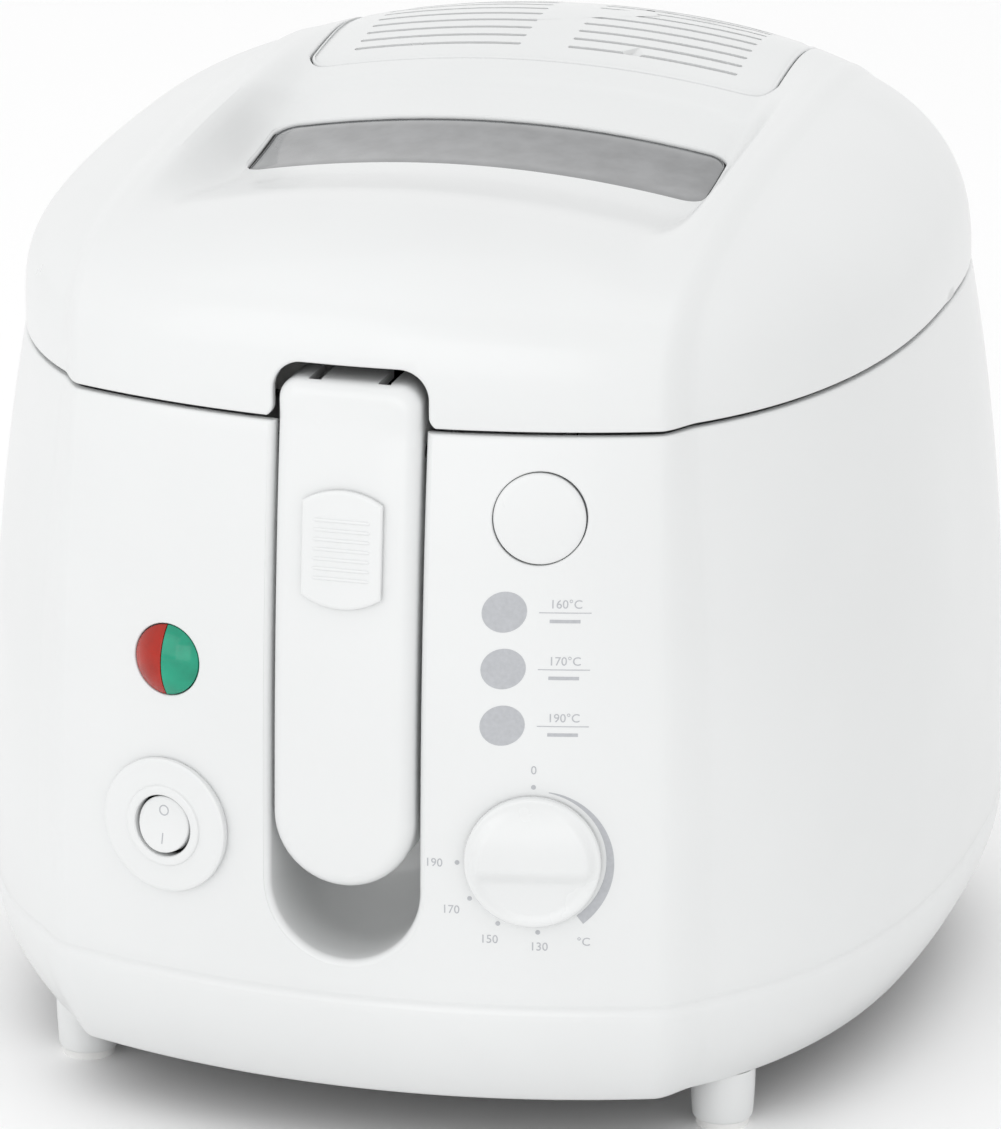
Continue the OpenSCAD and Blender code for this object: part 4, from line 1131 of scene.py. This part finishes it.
def make_slider(sizes):
    place = on_grip(SLIDER_Z)
    base = slider_outline()
    rows = [(0.2, 0.35), (0.0, 0.5), (0.0, 1.1), (0.12, 1.4), (0.4, 1.6), (0.9, 1.7), (1.2, 1.7)]
    rings = [[place(u, v, w) for u, v in offset(base, -inset)] for inset, w in rows]
    cap = solid("slider_button", *loft(rings))
    neck = [
        [place(u, v, w) for u, v in ((-3.7, -4), (3.7, -4), (3.7, 3.4), (-3.7, 3.4))]
        for w in (-3.4, 0.8)
    ]
    carve(cap, solid("neck", *loft(neck)), operation="UNION")
    rib_l, rib_r, count, pitch = 8.0, 0.55, 7, mm(sizes.rib_pitch)
    origin, right, up, out = panel_frame(0, SLIDER_Z)
    origin.y -= GRIP_PROUD
    outline = arc(0, 0, rib_r, 0, 180, 8) + [(-rib_r, -0.4), (rib_r, -0.4)]
    taper = ((-rib_l, 0.35), (0.5 - rib_l, 0.85), (1 - rib_l, 1.0))
    taper += tuple((-u, k) for u, k in reversed(taper))
    rings = [[right * u + up * (v * k) + out * (w * k) for v, w in outline] for u, k in taper]
    rib = solid("rib", *loft(rings))
    rib.data.transform(Matrix.Translation((0, -SHIFT * 0.001, 0)))
    start = at(*(origin + up * (-pitch * (count - 1) / 2) + out * 1.5))
    ribs = row_of("slider_ribs", rib, start, up * (pitch * 0.001), count, "white")
    bpy.data.objects.remove(rib)
    cap = joined(cap, ribs)
    return dress(cap, "white", "lock_slider", ("slider_cap",))


# ---- Controls ----


def make_knob(sizes):
    place = on_panel(CONTROL_X, DIAL_Z)
    r_out, low, rim = 18.2, 0.5, 3.3
    ridge = mm(sizes.ridge_height)

    def height(u, v):
        r = math.hypot(u, v)
        if v >= 2.0:
            rise = 1 - smooth((v - 2.0) / 15.0)
        elif v >= -1.6:
            rise = 1.0
        else:
            rise = max(-0.35, 1 - 1.55 * smooth((-1.6 - v) / 5.5) + 0.25 * smooth((-7 - v) / 8))
        side = 1 - smooth((r - 14.5) / 2.6)
        return rim + ridge * rise * side

    top = [(0.2, 0)] + [(16.9 * (i / 26), 0) for i in range(1, 27)]
    rings = round_rings(top, lambda u, v, h: place(u, v, height(u, v)), 144)
    edge = 0.9
    side = [(r_out - edge + edge * math.sin(t), rim - edge + edge * math.cos(t))
            for t in (0.0, 0.35, 0.75, 1.15, 1.57)]
    side += [(r_out, 1.2), (r_out - 0.2, low), (4.0, low), (0.2, low)]
    knob = solid("dial_knob", *loft(rings + round_rings(side, place, 144)))
    return dress(knob, "knob", "dial", ("knob",), 40)


def make_bezel():
    flat, drape = on_panel(-CONTROL_X, DIAL_Z), over_panel(-CONTROL_X, DIAL_Z)

    def place(u, v, h):
        return drape(u, v, 0.12) if h < 0.5 and math.hypot(u, v) > 10.5 else flat(u, v, h)

    neck = [(8.6, -0.6), (9.8, -0.6), (9.8, 1.0), (10.6, 0.2)]
    plate = [(18.6, 0.2), (18.8, 0.8), (18.8, 1.6), (18.65, 1.95), (18.3, 2.15), (17.6, 2.2)]
    plate += [(14.5, 2.2)]
    collar = [(11.9, 2.2), (11.45, 2.3), (11.25, 2.55), (11.15, 2.8), (10.9, 2.97), (10.5, 3.0)]
    collar += [(9.3, 3.0), (8.9, 2.9), (8.65, 2.6), (8.6, 2.2)]
    bezel = solid("switch_plate", *turned(neck + plate + collar, place, 128))
    return dress(bezel, "white", "housing", ("switch_bezel",))


def rocker_place(u, v, w):
    tilt = math.radians(7.0)
    return on_panel(-CONTROL_X, DIAL_Z)(
        u, v * math.cos(tilt) + w * math.sin(tilt), w * math.cos(tilt) - v * math.sin(tilt)
    )


def rocker_top(v):
    """Height of the rocker's top: 2.75 at its ends, dished by 0.55 between them."""
    return 2.75 - 0.55 * (1 - (v / ROCKER_R) ** 2)


def on_key(u, v, w):
    """A place on the rocker's dished top, w above it."""
    return rocker_place(u, v, rocker_top(v) + w)


def make_rocker():
    base = [(0.2, -2.6), (ROCKER_R - 0.3, -2.6), (ROCKER_R, -2.2)]
    top = [(ROCKER_R, -0.7), (7.78, -0.4), (7.65, -0.15), (7.4, -0.03)]
    top += [(r, 0) for r in (7, 6, 5, 4, 3, 2, 1, 0.2)]
    rings = round_rings(base, rocker_place) + round_rings(top, on_key)
    rocker = solid("rocker_key", *loft(rings))
    return dress(rocker, "white", "rocker", ("power_rocker",), 40)


def make_rocker_marks():
    """The off ring above the on bar."""
    shape, low, high, out, half = Shape(), -0.1, 0.05, 3.9, 0.17
    ring = [(1.15, low), (1.5, low), (1.5, high), (1.15, high)]
    shape.add(*turned(ring, lambda u, v, h: on_key(u, v + out, h), 40))
    section = ((-half, low), (half, low), (half, high), (-half, high))
    stroke = [[on_key(u, v - out, w) for u, w in section] for v in (-1.5, -0.75, 0, 0.75, 1.5)]
    shape.add(*loft(stroke))
    return dress(shape.made("rocker_marks"), "ink", "rocker")


def make_lenses():
    """The pilot lamp's two half lenses: one low dome, cut down its middle."""
    r, rise, gap, reach = 9.6, 3.4, 0.15, 30
    ball = (r * r + rise * rise) / (2 * rise)
    place = on_panel(-CONTROL_X, LAMP_Z)
    dome = [r * math.sin(math.pi / 2 * (1 - i / 18)) for i in range(18)]
    profile = [(0, -2.0), (r, -2.0), (r, -0.35)]
    profile += [(q, math.sqrt(ball ** 2 - q * q) + rise - ball) for q in dome] + [(0, rise)]
    for side, tint_name in ((-1, "red"), (1, "green")):
        lens = "lens_" + tint_name
        half = solid(lens + "_cap", *lathe(profile, place, 128))
        low, high = sorted((side * gap, -side * reach))
        corners = ((low, -reach), (high, -reach), (high, reach), (low, reach))
        rings = [[place(u, v, w) for u, v in corners] for w in (-20, 20)]
        carve(half, solid("half", *loft(rings)))
        dress(half, tint_name, "housing", ("lamp_" + lens,), 40)


def make_button():
    place = on_panel(CONTROL_X, BUTTON_Z)
    r = 12.2
    profile = [(0, -20), (2.7, -20), (3, -19.7), (3, -5), (r, -5), (r, -0.45)]
    turn = (0.3, 0.7, 1.1, 1.5)
    profile += [(r - 0.7 + 0.7 * math.cos(a), 0.62 * math.sin(a) - 0.45) for a in turn]
    profile += [(q, 0.4 - 0.23 * (q / r) ** 2) for q in (10.5, 8, 5.5, 3, 1)] + [(0, 0.4)]
    button = solid("lid_release", *lathe(profile, place, 128))
    return dress(button, "white", "button", ("lid_button",), 40)


def painted_shadow_band(shape, place, angles, inner, outer, low=-0.2, high=0.06):
    """An arc-shaped painted shadow, laid flat like a print: inner and outer give the radius at a
    share of the way along.
    """
    rings = []
    for i, a in enumerate(angles):
        t = i / (len(angles) - 1)
        c, s = math.sin(math.radians(a)), math.cos(math.radians(a))
        rings.append([place(c * q, s * q, w) for q, w in
                      ((inner(t), low), (outer(t), low), (outer(t), high), (inner(t), high))])
    shape.add(*loft(rings))


def spot(shape, place, cx, cy, rx, ry, turn=0.0, count=40, low=-0.2, high=0.06):
    """An oval print."""
    ct, st = math.cos(math.radians(turn)), math.sin(math.radians(turn))
    rings = []
    for k, w in ((0.02, low), (1, low)) + tuple((k, high) for k in (1, 0.75, 0.5, 0.25, 0.02)):
        ring = []
        for i in range(count):
            a = 2 * math.pi * i / count
            u, v = k * rx * math.cos(a), k * ry * math.sin(a)
            ring.append(place(cx + u * ct - v * st, cy + u * st + v * ct, w))
        rings.append(ring)
    shape.add(*loft(rings))


def bar(shape, place, x0, x1, y, thick, low=-0.2, high=0.06):
    steps = max(2, int((x1 - x0) / 2))
    rings = [
        [place(x0 + (x1 - x0) * i / steps, y + v, w) for v, w in
         ((-thick / 2, low), (thick / 2, low), (thick / 2, high), (-thick / 2, high))]
        for i in range(steps + 1)
    ]
    shape.add(*loft(rings))


def word(shape, place, text, cx, cy, size, low=-0.15, high=0.06):
    """Figures set flat and then laid over the panel."""
    curve = bpy.data.curves.new("figures", "FONT")
    curve.body = text
    curve.size = size
    curve.extrude = 0.5
    curve.align_x = "CENTER"
    curve.align_y = "CENTER"
    curve.resolution_u = 4
    ob = add_object("figures", curve)
    mesh = evaluated(ob)
    points = [place(cx + v.co.x, cy + v.co.y, high if v.co.z > 0 else low) for v in mesh.vertices]
    shape.add(points, [tuple(f.vertices) for f in mesh.polygons])
    bpy.data.objects.remove(ob)
    bpy.data.meshes.remove(mesh)


def make_prints(sizes):
    """The dial's scale, a painted shadow crescent beside the knob, and the food chart."""
    shape = Shape()
    dial = over_panel(CONTROL_X, DIAL_Z)
    high = mm(sizes.figure_height)
    for degrees, figure, reach in ((0, "0", 25.0), (176, "130", 24.6), (207, "150", 25.6),
                                   (236, "170", 26.6), (266, "190", 26.8)):
        s, c = math.sin(math.radians(degrees)), math.cos(math.radians(degrees))
        spot(shape, dial, 20.4 * s, 20.4 * c, 0.65, 0.65, count=20)
        word(shape, dial, figure, reach * s, reach * c, high)
    word(shape, dial, "\u00b0C", 13.5, -23.0, high)
    # Painted shadow: a grey crescent on the panel along the knob's right side, where its side wall
    # and shadow fall.
    painted_shadow_band(shape, dial, [12 + 131 * i / 60 for i in range(61)],
         lambda t: 19.3, lambda t: 19.5 + 2.7 * t ** 0.8)
    chart = over_panel(CONTROL_X, 143.0)
    for i, (z, figure) in enumerate(((158.0, "160"), (142.6, "170"), (127.1, "190"))):
        y = z - 143.0
        spot(shape, chart, -8.6, y, 6.1, 5.45, 20.0)
        word(shape, chart, figure + "\u00b0C", 7.6, y + 2.3, high)
        bar(shape, chart, 0.6, 14.2, y + 0.1, 0.22)
        bar(shape, chart, 3.4, 11.4, y - 2.2, 0.9)
    return dress(shape.made("panel_prints"), "ink", "housing")


# ---- Basket ----


def even(outline, count):
    """Equally spaced points along a closed outline, each with its outward direction."""
    ends = outline[1:] + outline[:1]
    steps = [math.hypot(b[0] - a[0], b[1] - a[1]) for a, b in zip(outline, ends)]
    pitch, out, walked, k = sum(steps) / count, [], 0.0, 0
    for i in range(count):
        while walked + steps[k] < i * pitch:
            walked += steps[k]
            k += 1
        t = (i * pitch - walked) / steps[k]
        (ax, ay), (bx, by) = outline[k], ends[k]
        out.append((Vector((ax + (bx - ax) * t, ay + (by - ay) * t)),
                    Vector((by - ay, ax - bx)) / steps[k]))
    return out


def crossing(box, place, along_x):
    """Where a straight line across the basket meets its rounded plan."""
    x0, y0, x1, y1, r = box
    lo, hi, near, far = (y0, y1, x0, x1) if along_x else (x0, x1, y0, y1)
    d = max(0.0, lo + r - place, place - (hi - r))
    cut = r - math.sqrt(max(0.0, r * r - d * d))
    return near + cut, far - cut


def make_basket(sizes):
    pitch, wire = mm(sizes.mesh_pitch), mm(sizes.mesh_wire) / 2

    def wave(i, j):
        """How far one wire passes above or outside another where they cross."""
        return wire * 0.95 * (-1) ** (i + j)

    box = grown(BASKET, -0.9)
    around = math.pi * (box[2] - box[0] + box[3] - box[1]) / 3.45
    count = 2 * round(around / pitch)
    loop = even(rounded_plan(box), count)
    low, high = BASKET_LOW + wire + wave(0, 0), BASKET_HIGH + 1.0
    levels = int((high - low - 4) / pitch)
    step = (high - low - 5) / levels
    paths, closed = [], []
    for j in range(levels + 1):
        z = low + 5 + step * j
        closed.append(len(paths))
        paths.append([(*(p + n * wave(i, j)), z) for i, (p, n) in enumerate(loop)])
    for i, (p, n) in enumerate(loop):
        path = [(*(p - n * 4.5), low), (*(p - n * 1.6), low + 1.2)]
        path += [(*(p - n * wave(i, j)), low + 5 + step * j) for j in range(levels + 1)]
        paths.append(path)
    floor = grown(box, -3.0)
    xs, ys = (
        [floor[k] + 3 + pitch * i for i in range(int((floor[k + 2] - floor[k] - 6) / pitch) + 1)]
        for k in (0, 1)
    )
    for j, y in enumerate(ys):
        a, b = crossing(floor, y, True)
        inside = [(x, y, low + wave(i, j)) for i, x in enumerate(xs) if a + 1 < x < b - 1]
        paths.append([(a, y, low)] + inside + [(b, y, low)])
    for i, x in enumerate(xs):
        a, b = crossing(floor, x, False)
        inside = [(x, y, low - wave(i, j)) for j, y in enumerate(ys) if a + 1 < y < b - 1]
        paths.append([(x, a, low)] + inside + [(x, b, low)])
    mesh = wires("basket_wire", paths, wire, "chrome", 6, closed)
    dress(mesh, "chrome", "basket", ("basket_mesh",), 70)
    rim = [(*p, BASKET_HIGH + 2.0) for p, _ in even(rounded_plan(BASKET), 220)]
    rod = wires("basket_rod", [rim], 2.0, "chrome", 16, (0,))
    return dress(rod, "chrome", "basket", ("basket_rim",), 60)


# ---- Finishes of the frame's own nodes ----

NODE_FINISH = {
    "white": "lid_hinge_arms grip_back latch_hook",
    "grey": "top_deck lamp_holder button_guide window_frame filter_tray terminal_block"
            " thermal_cutout",
    "dark": "base_plate gland_nut switch_housing thermostat_body",
    "steel": "base_screws heat_shield latch_bracket latch_pin hinge_bracket hinge_pin lid_catch"
             " liner_screws grip_screws slider_bolt knob_spindle",
    "brushed": "lid_liner basket_bracket",
    "element": "heating_element",
    "coat": "oil_pan",
    "silicone": "lid_seal foot_pads",
    "rubber": "window_gasket",
    "felt": "grease_filter",
    "carbon": "carbon_filter",
    "neon": "neon_lamps",
}


def paint_nodes():
    """Gives the frame's own nodes their finishes, by their material slots."""
    for finish, names in NODE_FINISH.items():
        for name in names.split():
            node = NODES[name]
            for place in node.material_slots:
                place.link = "OBJECT"
                place.material = FINISHES[finish]


# ---- Properties ----


def length(name, value, description):
    return FloatProperty(
        name=name, description=description, default=value * 0.001, min=0.0, unit="LENGTH"
    )


def tint(name, value, description):
    return FloatVectorProperty(
        name=name, description=description, default=value, size=3, min=0.0, max=1.0, subtype="COLOR"
    )


class FryerSizes(bpy.types.PropertyGroup):
    rim_edge: length("Rim rounding", 0.8, "Rounding of the rims at the seam")
    skirt_crease: length("Skirt crease", 0.45, "Depth of the crease round the housing's foot")
    recess_edge: length("Recess rounding", 2.2, "Rounding round the grip recess")
    crease_depth: length("Lid crease", 1.5, "Depth of the lid's face ahead of the filter cover")
    pane_drop: length("Window depth", 0.7, "Depth of the window below the lid's face")
    slot_pitch: length("Slot pitch", 6.0, "Distance between the filter cover's slots")
    grip_edge: length("Grip rounding", 4.2, "Rounding of the grip's front edge")
    rib_pitch: length("Rib pitch", 2.6, "Distance between the lock slider's ribs")
    ridge_height: length("Knob ridge", 1.6, "Height of the ridge across the dial knob")
    figure_height: length("Figure height", 3.3, "Height of the figures on the front panel")
    mesh_pitch: length("Mesh pitch", 5.0, "Distance between the basket's wires")
    mesh_wire: length("Mesh wire", 0.9, "Thickness of the basket's wires")


class FryerColours(bpy.types.PropertyGroup):
    housing: tint("Housing", (0.735, 0.745, 0.745), "Housing, lid, grip and button")
    knob: tint("Knob", (0.725, 0.735, 0.735), "Dial knob")
    window: tint("Window", (0.17, 0.175, 0.18), "Smoked window")
    # Grey of the prints, also used for the painted shadow crescent beside the dial knob.
    prints: tint("Prints", (0.42, 0.43, 0.45), "Figures and marks on the panel")
    red: tint("Red lens", (0.36, 0.014, 0.004), "Power lamp")
    green: tint("Green lens", (0.010, 0.30, 0.18), "Heating lamp")


# ---- Operators ----


class Step(bpy.types.Operator):
    bl_options = {"REGISTER", "UNDO"}

    def execute(self, context):
        self.build(context.scene.fryer_sizes, context.scene.fryer_colours)
        return {"FINISHED"}


class FRYER_OT_finishes(Step):
    """Mixes the materials and gives the frame's own nodes theirs"""

    bl_idname = "fryer.finishes"
    bl_label = "Finishes"

    def build(self, sizes, colours):
        FINISHES.update(
            white=moulded("white_satin", tuple(colours.housing), 0.30, 0.05, 1500.0, 0.25),
            knob=moulded("knob_satin", tuple(colours.knob), 0.26, 0.04, 1500.0, 0.3),
            grey=moulded("grey_moulding", (0.48, 0.49, 0.50), 0.45),
            dark=moulded("dark_moulding", (0.035, 0.036, 0.038), 0.5, 0.08),
            steel=brushed("plain_steel", (0.60, 0.60, 0.59), 0.34, (1, 12, 12)),
            brushed=brushed("brushed_steel", (0.66, 0.66, 0.65), 0.30),
            element=brushed("element_sheath", (0.20, 0.17, 0.15), 0.55, (1, 3, 3)),
            chrome=polished("bright_wire", (0.78, 0.78, 0.77), 0.12),
            coat=coated("pan_coating", (0.045, 0.046, 0.048)),
            rubber=soft_rubber("rubber_black", (0.03, 0.03, 0.03)),
            silicone=soft_rubber("silicone_grey", (0.72, 0.72, 0.71), 0.45),
            smoke=tinted("smoked_window", tuple(colours.window), 0.07),
            red=tinted("lens_red_tint", tuple(colours.red), 0.12, 0.35, 0.25),
            green=tinted("lens_green_tint", tuple(colours.green), 0.12, 0.35, 0.25),
            neon=tinted("neon_bulb", (0.80, 0.35, 0.12), 0.1),
            felt=fibre("filter_felt", (0.80, 0.79, 0.75)),
            carbon=foam("carbon_foam_cell", (0.03, 0.03, 0.032)),
            # The print grey also paints the shadow crescent beside the dial knob.
            ink=ink("print_grey", tuple(colours.prints)),
        )
        paint_nodes()


class FRYER_OT_housing(Step):
    """Builds the housing with its grip recess, the feet, the cord gland and the springs"""

    bl_idname = "fryer.housing"
    bl_label = "Housing"

    def build(self, sizes, colours):
        make_housing(sizes)
        make_gland()
        make_feet()
        make_springs()


class FRYER_OT_lid(Step):
    """Builds the lid's skin, the window and the slotted filter cover"""

    bl_idname = "fryer.lid"
    bl_label = "Lid"

    def build(self, sizes, colours):
        make_lid(sizes)
        make_window(sizes)
        make_cover(sizes)


class FRYER_OT_grip(Step):
    """Builds the folding grip, its pivot and the ribbed lock slider"""

    bl_idname = "fryer.grip"
    bl_label = "Grip"

    def build(self, sizes, colours):
        make_grip(sizes)
        make_grip_pin()
        make_slider(sizes)


class FRYER_OT_controls(Step):
    """Builds the dial knob, the rocker switch, the lamp lenses and the lid button"""

    bl_idname = "fryer.controls"
    bl_label = "Controls"

    def build(self, sizes, colours):
        make_knob(sizes)
        make_bezel()
        make_rocker()
        make_rocker_marks()
        make_lenses()
        make_button()


class FRYER_OT_prints(Step):
    """Lays the dial's scale, a painted shadow beside the knob and the food chart over the front
    panel
    """

    bl_idname = "fryer.prints"
    bl_label = "Prints"

    def build(self, sizes, colours):
        make_prints(sizes)


class FRYER_OT_basket(Step):
    """Weaves the frying basket and bends its rim"""

    bl_idname = "fryer.basket"
    bl_label = "Basket"

    def build(self, sizes, colours):
        make_basket(sizes)


def aimed(name, data, place, target):
    """A light or camera at a place, pointed at its target."""
    ob = add_object(name, data)
    ob.location = place
    ob.rotation_euler = (Vector(target) - Vector(place)).to_track_quat("-Z", "Y").to_euler()
    return ob


class FRYER_OT_stage(Step):
    """Lays the floor and sets the lights and the camera"""

    bl_idname = "fryer.stage"
    bl_label = "Stage"

    def build(self, sizes, colours):
        scene = bpy.context.scene
        floor = Finish("pale_floor", Roughness=0.6, Specular_IOR_Level=0.1)
        floor.colour(floor.blend(floor.noise(2.0, 3.0), (0.93, 0.93, 0.93), (0.95, 0.95, 0.95)))
        mesh = bpy.data.meshes.new("floor")
        mesh.from_pydata([(-6, -6, 0), (6, -6, 0), (6, 6, 0), (-6, 6, 0)], [], [(0, 1, 2, 3)])
        mesh.materials.append(floor.material)
        add_object("floor", mesh)
        world = bpy.data.worlds.new("studio")
        world.use_nodes = True
        backdrop = world.node_tree.nodes["Background"]
        backdrop.inputs["Color"].default_value = (1, 1, 1, 1)
        backdrop.inputs["Strength"].default_value = 1.0
        scene.world = world
        for name, place, size, power in (
            ("key", (-0.9, -1.8, 0.9), 1.4, 4.0),
            ("front", (0.15, -2.3, 0.55), 1.2, 5.0),
            ("top", (-0.2, -0.2, 1.9), 1.6, 2.5),
        ):
            data = bpy.data.lights.new(name, "AREA")
            data.energy = power
            data.size = size
            aimed(name, data, place, (0, 0, 0.12))
        data = bpy.data.cameras.new("camera")
        data.lens = 197.7
        data.sensor_width = 36.0
        data.clip_end = 50.0
        eye, target = (0.45992, -1.62896, 0.68148), (-0.00753, 0.0255, 0.11108)
        scene.camera = aimed("camera", data, eye, target)
        scene.view_settings.view_transform = "Standard"


STEPS = (
    FRYER_OT_finishes, FRYER_OT_housing, FRYER_OT_lid, FRYER_OT_grip, FRYER_OT_controls,
    FRYER_OT_prints, FRYER_OT_basket, FRYER_OT_stage,
)


class FRYER_PT_panel(bpy.types.Panel):
    """The steps and settings of the fryer"""

    bl_label = "Deep Fryer"
    bl_idname = "FRYER_PT_panel"
    bl_space_type = "VIEW_3D"
    bl_region_type = "UI"
    bl_category = "Fryer"

    def draw(self, context):
        for group in (context.scene.fryer_sizes, context.scene.fryer_colours):
            for key in group.__annotations__:
                self.layout.prop(group, key)
        for step in STEPS:
            self.layout.operator(step.bl_idname)


CLASSES = (FryerSizes, FryerColours, *STEPS, FRYER_PT_panel)


def register():
    for cls in CLASSES:
        bpy.utils.register_class(cls)
    bpy.types.Scene.fryer_sizes = PointerProperty(type=FryerSizes)
    bpy.types.Scene.fryer_colours = PointerProperty(type=FryerColours)


def unregister():
    del bpy.types.Scene.fryer_colours
    del bpy.types.Scene.fryer_sizes
    for cls in reversed(CLASSES):
        bpy.utils.unregister_class(cls)


def main():
    register()
    for step in STEPS:
        group, name = step.bl_idname.split(".")
        getattr(getattr(bpy.ops, group), name)()


if __name__ == "__main__":
    main()
